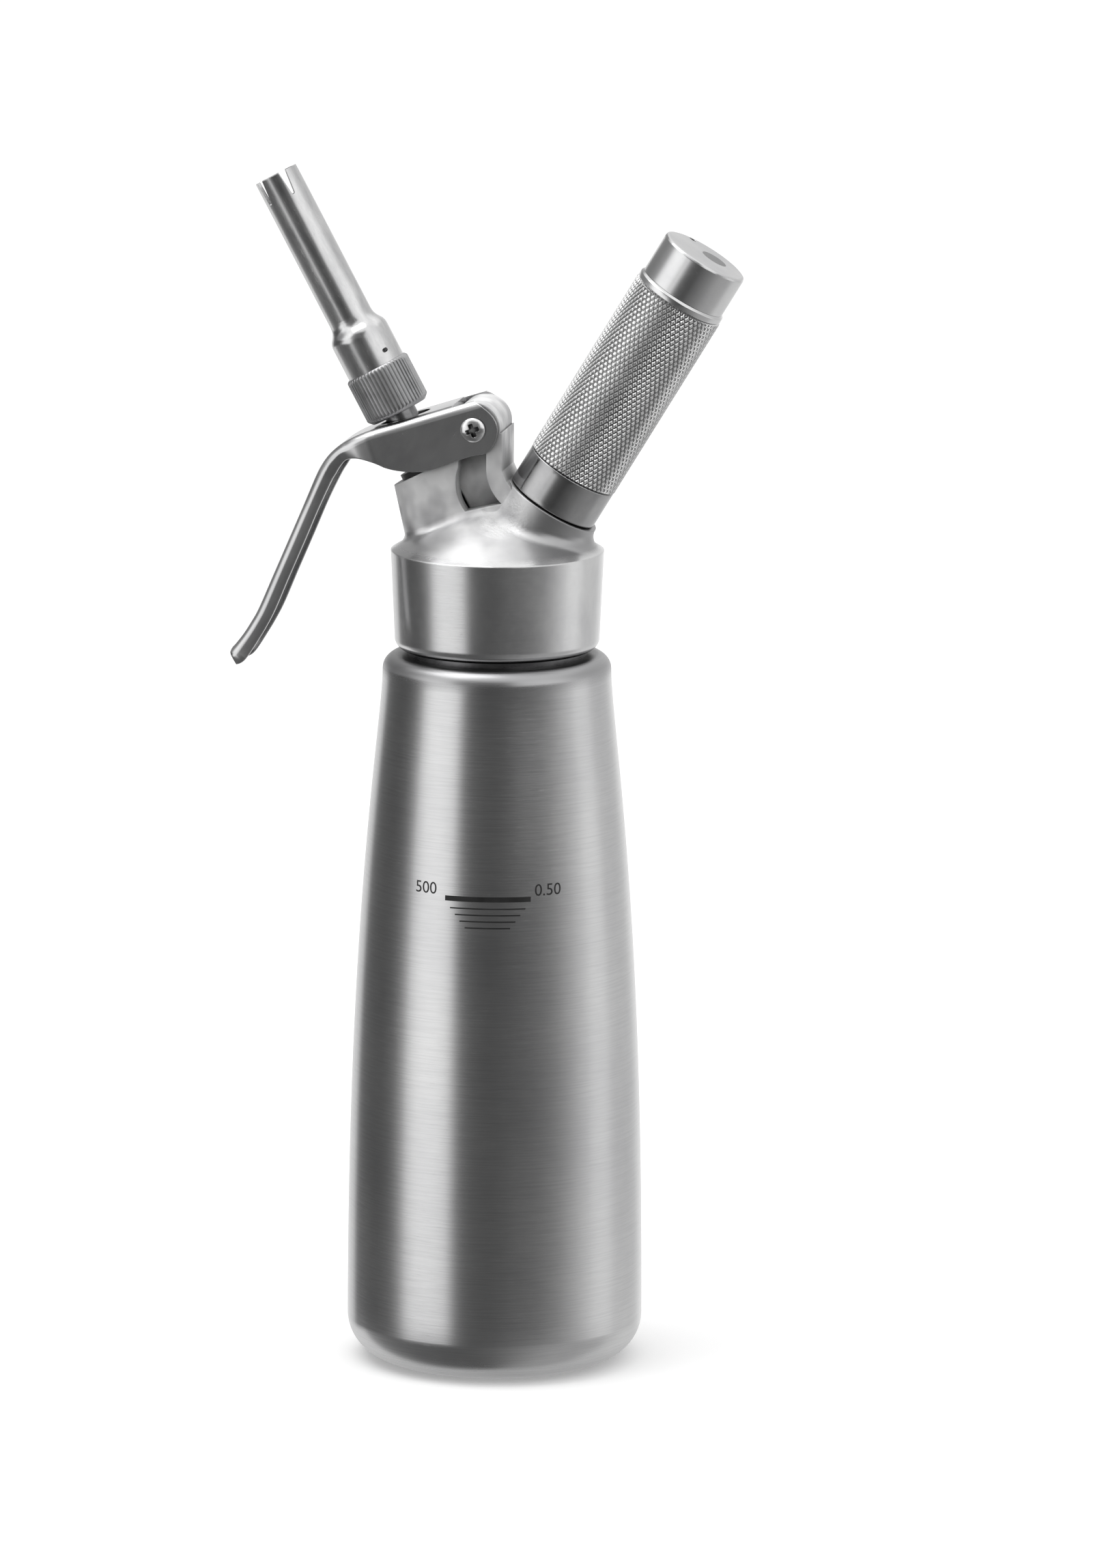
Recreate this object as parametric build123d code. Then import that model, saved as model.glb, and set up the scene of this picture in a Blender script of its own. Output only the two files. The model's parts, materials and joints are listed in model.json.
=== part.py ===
from build123d import *
import os
from math import atan2, cos, degrees, radians, sin, sqrt, tan

# Half-litre cream whipper: bottle, screw-on head, squeeze lever, dosing nozzle and charger holder.
# Millimetres, +Z up, origin at the centre of the base on the bottle axis, nozzle towards -X.

# clearances
run_gap = 0.07          # a shaft that turns or slides in its hole
join_gap = 0.03         # two pieces fixed for good
free_gap = 0.3          # neighbours that move past each other

# bottle
bottle_r = 39.0
bottle_wall = 1.0
base_round = 11.2
waist_z = 184.5
waist_r = 30.0
side_pull = 61.8        # how far down the waist each end of the taper is pulled
waist_pull = 14.3
shoulder_round = 4.0

# bottle mouth
neck_r = 23.6
neck_bore = 21.8
neck_rise = 23.5        # mouth above the waist
neck_pitch = 4.0
neck_depth = 1.0
neck_turns = 3.2

# head casting
collar_top_r = 27.9
collar_rise = 8.0       # top of the collar above the mouth
collar_low_r = 26.85
collar_height = 23.2
collar_gap = 1.45       # between the bottle's shoulder and the collar
collar_round = 2.9
cone_slope = 30.0
cone_top_r = 5.0
gasket_thick = 2.4
cavity_r = 20.0
cavity_rise = 5.5       # hollow of the head above the mouth

# dosing valve, heights measured along its own axis from the top of the boss
valve_tilt = 28.2
valve_x = -18.4
valve_rise = 21.1       # top of the boss above the collar
boss_r = 8.5
boss_tilt = 12.6
boss_overhang = 10.05   # left end of the boss beyond the valve axis
boss_reach = 14.0
boss_length = 32.0
boss_blend = 2.5
valve_bore = 6.0
seat_h = -21.0
seat_pocket_r = 9.0
stem_r = 4.0
stem_bore = 2.5
stem_neck_r = 4.3
port_r = 1.5
port_rise = 4.0         # side ports above the valve seat
stem_top_h = 29.0
gland_r = 7.5
gland_thick = 1.5
gland_depth = 8.0
seal_thick = 2.4
seal_r = 7.8
foot_thick = 2.4
collar_r = 6.5
collar_thick = 2.0
spring_r = 5.15
spring_wire = 0.55
spring_turns = 4.0

# nut and nozzle
nut_r = 8.75
nut_rib = 0.45
nut_ribs = 50
nut_low_h = 16.4
nut_top_h = 29.6
nut_chamfer = 1.1
spigot_r = 6.4
spigot_top_h = 36.0
nozzle_seal_thick = 1.4
tip_base_r = 7.925
tip_base_h = 38.4
tip_neck_h = 44.4
tip_r = 5.92
tip_bore = 5.1
tip_end_h = 86.2
tip_slots = 5
tip_slot_depth = 6.6
tip_slot_mouth = 2.3
tip_slot_foot = 1.0
tip_slot_start = -40.8
vent_h = 32.7
vent_long = 1.7
vent_wide = 1.1
vent_angle = 45.0

# bracket, knuckle and pivot
pivot_run = 13.8        # pivot from the middle of the boss top
pivot_rise = 11.9
bracket_half = 8.5
rib_half = 2.5
knuckle_r = 6.8
axle_r = 2.6
screw_r = 1.5
screw_head_r = 3.25
screw_head_h = 1.6

# lever
sheet = 1.5
lever_half = 10.3
arm_half = 7.0
lever_bend = 2.4
web_height = 7.39       # top of the web above the pivot, square to the web
web_tilt = 18.0
stem_slot_near = 11.7   # along the web from the pivot
stem_slot_far = 25.4

# charger holder, heights measured along its own axis from the foot of the ring
holder_tilt = 31.2
holder_x = 14.8
holder_rise = 13.3      # foot of the ring above the collar
charger_boss_r = 13.3
charger_boss_h = -0.6
charger_boss_blend = 4.0
stub_r = 8.4
stub_h = 9.0
stub_pitch = 2.0
stub_depth = 0.6
stub_turns = 3.5
stub_bore = 4.2
barrel_bore = 9.3
barrel_r = 10.6
ring_r = 12.35
ring_top_h = 10.0
grip_r = 12.45
trim_r = 12.3
trim_height = 2.0
cap_r = 11.75
cap_socket = 4.4        # how far the barrel stands in the cap
cap_thick = 6.9
cap_edge = 0.75
cap_hole_r = 1.0
cap_hole_x = -5.6
cap_hole_y = 8.2
cap_hole_depth = 3.0
inlay_r = 3.5
inlay_x = 2.2
inlay_y = 2.0
inlay_thick = 0.8

# gas charger, 18 by 65 mm
charger_r = 8.95
charger_len = 65.0
charger_neck_r = 3.8
charger_neck_len = 10.0
charger_shoulder = 7.0
charger_wall = 1.4
charger_foot_h = 0.9
pin_r = 0.8
pad_dome = 4.5          # how far the pad reaches down the round end
pad_thick = 4.1

# heights up the stack
rim_z = waist_z + neck_rise
collar_top_z = rim_z + collar_rise
collar_low_z = collar_top_z - collar_height
collar_base_z = waist_z + shoulder_round + collar_gap
cavity_z = rim_z + cavity_rise
valve_z = collar_top_z + valve_rise
pivot_x = valve_x + pivot_run
pivot_z = valve_z + pivot_rise
holder_z = collar_top_z + holder_rise

# heights along the holder, fixed by the charger inside
barrel_top_h = charger_foot_h + charger_len + pad_thick
trim_top_h = barrel_top_h - cap_socket
grip_top_h = trim_top_h - trim_height
cap_top_h = barrel_top_h + cap_thick

valve_frame = Plane(
    origin=(valve_x, 0, valve_z),
    x_dir=(cos(radians(valve_tilt)), 0, sin(radians(valve_tilt))),
    z_dir=(-sin(radians(valve_tilt)), 0, cos(radians(valve_tilt))),
)
holder_frame = Plane(
    origin=(holder_x, 0, holder_z),
    x_dir=(cos(radians(holder_tilt)), 0, -sin(radians(holder_tilt))),
    z_dir=(sin(radians(holder_tilt)), 0, cos(radians(holder_tilt))),
)

# where the lever meets the stem: pivot seen from the valve axis
pivot_dx = pivot_x - valve_x
pivot_dz = pivot_z - valve_z
pivot_h = pivot_dz * cos(radians(valve_tilt)) - pivot_dx * sin(radians(valve_tilt))
pivot_reach = pivot_dx * cos(radians(valve_tilt)) + pivot_dz * sin(radians(valve_tilt))
web_lean = radians(valve_tilt - web_tilt)
press_reach = pivot_reach - 0.8 * collar_r
web_low_h = pivot_h + (web_height - sheet + press_reach * sin(web_lean)) / cos(web_lean)
collar_top_h = web_low_h - 0.2
collar_low_h = collar_top_h - collar_thick


def tube(outer, inner, low, high):
    face = Circle(outer) - Circle(inner)
    return Pos(0, 0, low) * extrude(face, amount=high - low)


def rod(radius, low, high):
    return Pos(0, 0, low) * extrude(Circle(radius), amount=high - low)


def turned(points):
    return revolve(Plane.XZ * make_face(Polyline(*points, close=True)), Axis.Z)


def turned_edges(edges):
    return revolve(Plane.XZ * make_face(edges), Axis.Z)


def side_plate(points, half):
    face = Plane.XZ * make_face(Polyline(*points, close=True))
    return extrude(face, amount=half, both=True)


def thread(root, depth, pitch, turns, low):
    # a helical ridge that stands on a cylinder of the root radius
    path = Helix(pitch=pitch, height=pitch * turns, radius=root)
    foot = 0.3 * pitch
    crest = 0.12 * pitch
    points = [(-0.25, -foot), (depth, -crest), (depth, crest), (-0.25, foot)]
    start = Plane(origin=path @ 0, x_dir=(1, 0, 0), z_dir=path % 0)
    ridge = sweep(start * make_face(Polyline(*points, close=True)), path=path, is_frenet=True)
    return Pos(0, 0, low) * ridge


def bottle_shell():
    # one drawn wall: round base edge, upright side, slow taper to the waist, tight shoulder
    inner_base = base_round - bottle_wall
    inner_waist = waist_r - bottle_wall
    top_z = waist_z + shoulder_round
    round_x = waist_r - shoulder_round
    inner_round = shoulder_round - bottle_wall
    hole = neck_r + join_gap
    c45 = cos(radians(45))
    edges = [
        Line((0, 0), (bottle_r - base_round, 0)),
        ThreePointArc(
            (bottle_r - base_round, 0),
            (bottle_r - base_round + base_round * c45, base_round - base_round * c45),
            (bottle_r, base_round),
        ),
        Bezier(
            (bottle_r, base_round),
            (bottle_r, waist_z - side_pull),
            (waist_r, waist_z - waist_pull),
            (waist_r, waist_z),
        ),
        ThreePointArc(
            (waist_r, waist_z),
            (round_x + shoulder_round * c45, waist_z + shoulder_round * c45),
            (round_x, top_z),
        ),
        Line((round_x, top_z), (hole, top_z)),
        Line((hole, top_z), (hole, top_z - bottle_wall)),
        Line((hole, top_z - bottle_wall), (round_x, top_z - bottle_wall)),
        ThreePointArc(
            (round_x, top_z - bottle_wall),
            (round_x + inner_round * c45, waist_z + inner_round * c45),
            (inner_waist, waist_z),
        ),
        Bezier(
            (inner_waist, waist_z),
            (inner_waist, waist_z - waist_pull),
            (bottle_r - bottle_wall, waist_z - side_pull),
            (bottle_r - bottle_wall, base_round),
        ),
        ThreePointArc(
            (bottle_r - bottle_wall, base_round),
            (bottle_r - base_round + inner_base * c45, base_round - inner_base * c45),
            (bottle_r - base_round, bottle_wall),
        ),
        Line((bottle_r - base_round, bottle_wall), (0, bottle_wall)),
        Line((0, bottle_wall), (0, 0)),
    ]
    return turned_edges(edges)


def neck_ring():
    # mouth ring, its flange welded under the shoulder
    top_z = waist_z + shoulder_round - bottle_wall
    ring = tube(neck_r, neck_bore, top_z - 1.2, rim_z)
    flange = tube(waist_r - shoulder_round, neck_bore, top_z - 1.2, top_z)
    ridge = thread(neck_r, neck_depth, neck_pitch, neck_turns, rim_z - 2.0 - neck_pitch * neck_turns)
    return ring + flange + ridge


def head_gasket():
    bore = neck_r + neck_depth + free_gap
    return tube(bore - 0.25, neck_bore + 0.1, rim_z, rim_z + gasket_thick)


def head_shell():
    # collar and cone as one turned shape with the screw skirt opened from below
    bore = neck_r + neck_depth + free_gap
    cone_z = collar_top_z + (collar_top_r - cone_top_r) * tan(radians(cone_slope))
    seat_z = rim_z + gasket_thick
    round_x = collar_low_r - collar_round
    mid = radians(42)
    edges = [
        Line((bore, collar_base_z + 0.1), (bore, seat_z)),
        Line((bore, seat_z), (cavity_r, seat_z)),
        Line((cavity_r, seat_z), (cavity_r - 1.5, cavity_z)),
        Line((cavity_r - 1.5, cavity_z), (0, cavity_z)),
        Line((0, cavity_z), (0, cone_z)),
        Line((0, cone_z), (cone_top_r, cone_z)),
        Line((cone_top_r, cone_z), (collar_top_r, collar_top_z)),
        Line((collar_top_r, collar_top_z), (collar_low_r, collar_low_z)),
        ThreePointArc(
            (collar_low_r, collar_low_z),
            (round_x + collar_round * cos(mid), collar_low_z - collar_round * sin(mid)),
            (bore, collar_base_z + 0.1),
        ),
    ]
    return turned_edges(edges)


def valve_boss():
    # upright boss with a rounded left end, cut square to the valve at the top
    tilt = radians(boss_tilt)
    left_x = valve_x - boss_overhang
    frame = Plane(
        origin=(left_x, 0, valve_z),
        x_dir=(cos(tilt), 0, sin(tilt)),
        z_dir=(-sin(tilt), 0, cos(tilt)),
    )
    left = Pos(boss_r, 0, -boss_length) * extrude(Circle(boss_r), amount=boss_length + 10)
    block = Box(boss_reach, 2 * boss_r, boss_length + 10)
    middle = Pos(boss_r + boss_reach / 2, 0, 5 - boss_length / 2) * block
    wide = 10 * boss_r
    above = Pos(0, 0, wide / 2) * Box(wide, wide, wide)
    return frame * (left + middle) - valve_frame * above


def knuckle():
    barrel = extrude(Circle(knuckle_r), amount=bracket_half, both=True)
    return Pos(pivot_x, 0, pivot_z) * Rot(90, 0, 0) * barrel


def bracket():
    # side wall from the valve boss to the arm, and the knuckle on top; points from the pivot
    block = side_plate(
        [(-9.4, -9.6), (-6.3, -7.9), (-4.6, -7.9), (-4.6, -5.5), (7.3, -0.7), (7.3, -11.0),
         (8.5, -13.7), (9.6, -15.0), (12.6, -24.0), (9.6, -31.0), (-7.4, -31.0), (-13.4, -23.0)],
        bracket_half,
    )
    return Pos(pivot_x, 0, pivot_z) * block + knuckle()


def side_pocket(side):
    # open to the side and to the top; the rib stays in the middle; points from the pivot
    outline = [
        Line((-4.4, -3.0), (-4.4, -10.3)),
        ThreePointArc((-4.4, -10.3), (-5.0, -15.5), (-2.5, -21.9)),
        Line((-2.5, -21.9), (7.2, -19.5)),
        ThreePointArc((7.2, -19.5), (4.3, -15.6), (3.1, -10.8)),
        Line((3.1, -10.8), (3.1, -3.0)),
        Line((3.1, -3.0), (-4.4, -3.0)),
    ]
    depth = bracket_half - rib_half
    middle = side * (rib_half + depth / 2 + 2.0)
    pocket = extrude(Plane.XZ * make_face(outline), amount=depth / 2 + 2.0, both=True)
    return Pos(pivot_x, middle, pivot_z) * pocket - knuckle()


def charger_boss():
    return holder_frame * rod(charger_boss_r, -14.0, charger_boss_h)


def charger_stub():
    stub = rod(stub_r, charger_boss_h - 1.0, stub_h)
    ridge = thread(stub_r, stub_depth, stub_pitch, stub_turns, charger_boss_h + 1.6)
    return holder_frame * (stub + ridge)


def valve_bores():
    passage = rod(valve_bore, seat_h - 0.1, 1.0)
    pocket = rod(seat_pocket_r, seat_h - 16.0, seat_h)
    return valve_frame * (passage + pocket)


def gas_bores():
    insert = rod(stub_bore, -6.0, stub_h + 1.0)
    check = rod(3.0, -11.0, -6.0)
    channel = rod(1.2, -19.5, -11.0)
    return holder_frame * (insert + check + channel)


def blended(body, boss, radius):
    # adds a boss above the cavity and rounds the seam where it meets the casting
    skirt = Pos(0, 0, cavity_z) * extrude(Circle(collar_top_r + 20), amount=-40)
    boss = boss - skirt
    joined = body + boss
    edges = new_edges(body, boss, combined=joined)
    seam = [edge for edge in edges if edge.length > 1 and edge.center().Z > cavity_z]
    return fillet(seam, radius)


def head_body():
    solid = blended(head_shell(), charger_boss(), charger_boss_blend)
    solid = blended(solid, valve_boss(), boss_blend)
    solid = solid + bracket() + charger_stub()
    solid = solid - side_pocket(-1) - side_pocket(1)
    solid = solid - valve_bores() - gas_bores()
    pin = Pos(pivot_x, 0, pivot_z) * Rot(90, 0, 0) * extrude(Circle(axle_r + join_gap), amount=12, both=True)
    return solid - pin


def valve_gland():
    bush = tube(valve_bore - join_gap, stem_r + run_gap, -gland_depth, 0)
    flange = tube(gland_r, stem_r + run_gap, 0, gland_thick)
    groove = tube(stem_r + 1.3, stem_r, -gland_depth + 2.0, -gland_depth + 3.4)
    return valve_frame * (bush + flange - groove)


def stem_o_ring():
    ring = Torus(stem_r + 0.68, 0.58)
    return valve_frame * Pos(0, 0, -gland_depth + 2.7) * ring


def valve_spring():
    low = gland_thick + spring_wire + 0.05
    high = collar_low_h - spring_wire - 0.05
    path = Helix(pitch=(high - low) / spring_turns, height=high - low, radius=spring_r)
    start = Plane(origin=path @ 0, x_dir=(1, 0, 0), z_dir=path % 0)
    coil = sweep(start * Circle(spring_wire), path=path, is_frenet=True)
    return valve_frame * Pos(0, 0, low) * coil


def stem_collar():
    return valve_frame * tube(collar_r, stem_r + join_gap, collar_low_h, collar_top_h)


def valve_stem():
    # hollow above the side ports, wider where it passes the lever and carries the nut
    foot_low = seat_h - seal_thick - foot_thick
    shank = rod(stem_r, foot_low, collar_top_h)
    neck = rod(stem_neck_r, collar_top_h, stem_top_h)
    duct = rod(stem_bore, seat_h + 2.0, stem_top_h + 1.0)
    solid = shank + neck - duct
    for turn in (0, 90, 180, 270):
        port = Rot(0, 90, 0) * extrude(Circle(port_r), amount=stem_r + 1)
        solid = solid - Rot(0, 0, turn) * Pos(0, 0, seat_h + port_rise) * port
    return valve_frame * solid


def valve_foot():
    low = seat_h - seal_thick - foot_thick
    disc = tube(seal_r, stem_r + join_gap, low, low + foot_thick)
    return valve_frame * chamfer(disc.edges().group_by(Axis.Z)[0].sort_by(SortBy.RADIUS)[-1], 0.6)


def valve_seal():
    return valve_frame * tube(seal_r - 0.2, stem_r + join_gap, seat_h - seal_thick, seat_h)


def nozzle_seal():
    return valve_frame * tube(stem_neck_r - 0.1, stem_bore, stem_top_h, stem_top_h + nozzle_seal_thick)


def nut_outline():
    # straight ribs all round, three points to a rib and two to a groove
    points = []
    step = 360.0 / nut_ribs
    for index in range(nut_ribs):
        for share, drop in ((0.0, 0.0), (0.22, 0.08), (0.42, nut_rib), (0.58, nut_rib), (0.78, 0.08)):
            angle = radians(step * (index + share))
            radius = nut_r - drop
            points.append((radius * cos(angle), radius * sin(angle)))
    return make_face(Polyline(*points, close=True))


def nozzle_nut():
    body = Pos(0, 0, nut_low_h) * extrude(nut_outline(), amount=nut_top_h - nut_low_h)
    limit = turned([
        (0, nut_low_h),
        (nut_r - nut_chamfer, nut_low_h),
        (nut_r + 0.1, nut_low_h + nut_chamfer),
        (nut_r + 0.1, nut_top_h - 0.35),
        (nut_r - 0.55, nut_top_h),
        (0, nut_top_h),
    ])
    spigot = rod(spigot_r, nut_top_h, spigot_top_h)
    solid = (body & limit) + spigot
    seat = stem_top_h + nozzle_seal_thick
    solid = solid - rod(stem_neck_r + run_gap, nut_low_h - 1.0, seat)
    solid = solid - rod(3.2, seat - 0.5, spigot_top_h + 1.0)
    return valve_frame * solid


def nozzle_tip():
    inner = spigot_r + join_gap
    edges = [
        Line((inner, nut_top_h), (tip_base_r, nut_top_h)),
        Line((tip_base_r, nut_top_h), (tip_base_r, tip_base_h)),
        Bezier((tip_base_r, tip_base_h), (tip_base_r, tip_base_h + 3.0),
               (tip_r, tip_neck_h - 3.6), (tip_r, tip_neck_h)),
        Line((tip_r, tip_neck_h), (tip_r, tip_end_h)),
        Line((tip_r, tip_end_h), (tip_bore, tip_end_h)),
        Line((tip_bore, tip_end_h), (tip_bore, tip_neck_h)),
        Bezier((tip_bore, tip_neck_h), (tip_bore, tip_neck_h - 3.6),
               (inner, tip_base_h + 1.6), (inner, spigot_top_h)),
        Line((inner, spigot_top_h), (inner, nut_top_h)),
    ]
    solid = turned_edges(edges)
    for index in range(tip_slots):
        solid = solid - Rot(0, 0, -90 + tip_slot_start + index * 360 / tip_slots) * tip_slot()
    vent = Pos(0, 0, vent_h) * (Plane.YZ * SlotOverall(vent_long, vent_wide))
    solid = solid - Rot(0, 0, -90 + vent_angle) * extrude(vent, amount=tip_base_r + 2)
    return valve_frame * solid


def tip_slot():
    # a narrow wedge with a round foot, open at the end of the tube
    foot_z = tip_end_h - tip_slot_depth + tip_slot_foot / 2
    half_foot = tip_slot_foot / 2
    half_mouth = tip_slot_mouth / 2 + 0.1
    outline = [
        Line((-half_foot, foot_z), (-half_mouth, tip_end_h + 1)),
        Line((-half_mouth, tip_end_h + 1), (half_mouth, tip_end_h + 1)),
        Line((half_mouth, tip_end_h + 1), (half_foot, foot_z)),
        ThreePointArc((half_foot, foot_z), (0, foot_z - half_foot), (-half_foot, foot_z)),
    ]
    face = Plane.YZ * make_face(outline)
    return extrude(face, amount=tip_r + 2)


def lever_stations():
    # points along the outer line from the pivot, with the depth of the channel and its half width
    top_x = -web_height * sin(radians(web_tilt))
    top_z = web_height * cos(radians(web_tilt))
    run = radians(web_tilt)
    web = []
    for along in (-12.0, 8.0, 25.5):
        web.append((top_x - along * cos(run), top_z - along * sin(run), 16.0, lever_half))
    bend = [
        (-29.6, -2.05, 13.5, lever_half),
        (-32.6, -3.45, 11.0, 10.1),
        (-35.2, -5.0, 9.5, 9.6),
        (-37.6, -6.9, 8.5, 9.0),
        (-39.6, -9.0, 7.6, 8.5),
        (-41.4, -11.6, 7.0, 8.0),
        (-43.1, -14.95, 6.6, 7.6),
    ]
    arm = [
        (-46.3, -22.4, 6.4, arm_half),
        (-58.4, -50.45, 6.4, arm_half),
        (-60.4, -54.0, 6.4, arm_half),
        (-62.3, -57.0, 6.4, arm_half),
        (-64.3, -59.8, 6.4, arm_half),
        (-68.4, -65.0, 6.4, arm_half),
    ]
    return web + bend + arm


def bend_point(half, radius, angle, side):
    across = side * (half - lever_bend) + radius * cos(radians(angle))
    return (across, lever_bend + radius * sin(radians(angle)))


def channel_section(depth, half):
    # U of folded sheet, closed side at 0 and free edges at depth
    inner = lever_bend - sheet
    outside = [(lever_bend, angle, -1) for angle in (180, 210, 240, 270)]
    outside += [(lever_bend, angle, 1) for angle in (270, 300, 330, 360)]
    inside = [(inner, angle, 1) for angle in (360, 330, 300, 270)]
    inside += [(inner, angle, -1) for angle in (270, 240, 210, 180)]
    points = [(-half, depth)]
    for radius, angle, side in outside:
        points.append(bend_point(half, radius, angle, side))
    points += [(half, depth), (half - sheet, depth)]
    for radius, angle, side in inside:
        points.append(bend_point(half, radius, angle, side))
    points.append((sheet - half, depth))
    return make_face(Polyline(*points, close=True))


def lever_channel():
    stations = lever_stations()
    sections = []
    for index, (x, z, depth, half) in enumerate(stations):
        before = stations[max(index - 1, 0)]
        after = stations[min(index + 1, len(stations) - 1)]
        along = (after[0] - before[0], 0, after[1] - before[1])
        plane = Plane(origin=(x, 0, z), x_dir=(0, 1, 0), z_dir=along)
        sections.append(plane * channel_section(depth, half))
    return loft(sections, ruled=True)


def lever_profile():
    # side view from the pivot: round end, wavy lower edge of the fork, slim arm, curled end
    top = [(-1.0, 7.9), (2.0, 6.15), (4.4, 4.3), (5.95, 2.0), (6.3, -0.1), (5.6, -3.3), (3.3, -6.25)]
    fork = [(3.3, -6.25), (-0.9, -7.1), (-5.0, -8.6), (-7.8, -9.8), (-10.8, -10.9), (-15.2, -11.6),
            (-19.4, -11.55), (-24.4, -10.5), (-28.9, -8.9), (-32.0, -8.75), (-34.1, -9.3), (-35.6, -10.9),
            (-38.1, -14.95), (-41.5, -22.05)]
    arm = [(-41.5, -22.05), (-44.5, -29.15), (-53.6, -50.45), (-56.4, -55.8), (-57.7, -57.9), (-59.8, -61.4),
           (-61.3, -63.5), (-62.6, -64.7), (-63.9, -65.3), (-64.7, -64.8), (-65.7, -62.5)]
    edges = [
        Spline(*top),
        Spline(*fork),
        Polyline(*arm),
        Polyline((-65.7, -62.5), (-66.0, -61.4), (-73.4, -54.0), (-50.4, 13.0), (-1.0, 13.0), (-1.0, 7.9)),
    ]
    face = Plane.XZ * make_face(edges)
    return extrude(face, amount=lever_half + 1, both=True)


def web_plane(along):
    # seen from the pivot: origin on top of the web, x along the web away from the pivot, z square to it
    tilt = radians(web_tilt)
    x = -web_height * sin(tilt) - along * cos(tilt)
    z = web_height * cos(tilt) - along * sin(tilt)
    return Plane(origin=(x, 0, z), x_dir=(-cos(tilt), 0, -sin(tilt)), z_dir=(-sin(tilt), 0, cos(tilt)))


def lever():
    solid = lever_channel() & lever_profile()
    reach = sqrt((knuckle_r + free_gap) ** 2 - (web_height - sheet) ** 2)
    notch = Box(40.0, 2 * (lever_half - sheet), 12.0)
    solid = solid - web_plane(reach - 20.0) * notch
    slot_mid = (stem_slot_near + stem_slot_far) / 2
    slot = SlotOverall(stem_slot_far - stem_slot_near, 2 * (stem_neck_r + 0.4))
    solid = solid - web_plane(slot_mid) * extrude(slot, amount=4.0, both=True)
    hole = Rot(90, 0, 0) * extrude(Circle(axle_r + run_gap), amount=lever_half + 1, both=True)
    return Pos(pivot_x, 0, pivot_z) * (solid - hole)


def pivot_sleeve():
    length = lever_half + 0.15
    face = Circle(axle_r) - Circle(screw_r + join_gap)
    return Pos(pivot_x, 0, pivot_z) * Rot(90, 0, 0) * extrude(face, amount=length, both=True)


def screw_head():
    # pan head, flat under side at 0
    edges = [
        Line((0, 0), (screw_head_r, 0)),
        Line((screw_head_r, 0), (screw_head_r, 0.7)),
        Bezier((screw_head_r, 0.7), (screw_head_r, 1.25), (2.4, screw_head_h), (1.6, screw_head_h)),
        Line((1.6, screw_head_h), (0, screw_head_h)),
        Line((0, screw_head_h), (0, 0)),
    ]
    return turned_edges(edges)


def pivot_screw():
    head = screw_head()
    for turn in (0, 90):
        head = head - Pos(0, 0, screw_head_h) * Rot(0, 0, turn) * Box(3.6, 0.75, 1.8)
    shank = rod(screw_r, -2 * lever_half + 3.0, 0)
    seat = -(lever_half + 0.15)
    return Pos(pivot_x, seat, pivot_z) * Rot(90, 0, 0) * Rot(0, 0, 20) * (head + shank)


def pivot_nut():
    head = screw_head()
    blind = rod(screw_r, -2.2, 0)
    seat = lever_half + 0.15
    return Pos(pivot_x, seat, pivot_z) * Rot(-90, 0, 0) * (head + blind)


def pin_holder():
    body = tube(stub_bore - join_gap, pin_r + join_gap, -6.0, -0.8)
    for turn in (0, 120, 240):
        body = body - Rot(0, 0, turn) * Pos(2.3, 0, 0) * rod(0.5, -7.0, 0)
    return holder_frame * body


def piercing_pin():
    shaft = rod(pin_r, -6.0, 1.6)
    point = Pos(0, 0, 1.6 + 0.6) * Cone(pin_r, 0.15, 1.2)
    return holder_frame * (shaft + point)


def charger_gasket():
    return holder_frame * tube(stub_bore - 0.15, pin_r + 0.7, -0.8, charger_foot_h)


def gas_check_valve():
    cup = tube(3.0 - join_gap, 1.4, -10.9, -6.4)
    lip = tube(1.6, 0.5, -10.9, -9.7)
    return holder_frame * (cup + lip)


def gas_charger():
    # drawn steel cartridge, its neck seal pierced by the pin
    low = charger_foot_h
    neck_top = low + charger_neck_len
    body_low = neck_top + charger_shoulder
    dome = low + charger_len - charger_r
    wall = charger_wall
    inner = charger_r - wall
    c45 = cos(radians(45))
    edges = [
        Line((pin_r + 0.35, low), (charger_neck_r, low)),
        Line((charger_neck_r, low), (charger_neck_r, neck_top)),
        Bezier((charger_neck_r, neck_top), (charger_neck_r, neck_top + 2.6),
               (charger_r, body_low - 3.6), (charger_r, body_low)),
        Line((charger_r, body_low), (charger_r, dome)),
        ThreePointArc((charger_r, dome), (charger_r * c45, dome + charger_r * c45), (0, dome + charger_r)),
        Line((0, dome + charger_r), (0, dome + inner)),
        ThreePointArc((0, dome + inner), (inner * c45, dome + inner * c45), (inner, dome)),
        Line((inner, dome), (inner, body_low + 1)),
        Bezier((inner, body_low + 1), (inner, body_low - 2.6),
               (charger_neck_r - wall, neck_top + 3.2), (charger_neck_r - wall, neck_top)),
        Line((charger_neck_r - wall, neck_top), (charger_neck_r - wall, low + 1.0)),
        Line((charger_neck_r - wall, low + 1.0), (pin_r + 0.35, low + 1.0)),
        Line((pin_r + 0.35, low + 1.0), (pin_r + 0.35, low)),
    ]
    return holder_frame * turned_edges(edges)


def holder_barrel():
    return holder_frame * tube(barrel_r, barrel_bore, 0.2, barrel_top_h)


def holder_ring():
    inner = barrel_r + join_gap
    points = [
        (inner, 0.0), (ring_r - 1.0, 0.0), (ring_r - 0.5, 0.14), (ring_r - 0.14, 0.5), (ring_r, 1.0),
        (ring_r, ring_top_h - 0.3), (ring_r - 0.3, ring_top_h), (inner, ring_top_h),
    ]
    return holder_frame * turned(points)


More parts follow.
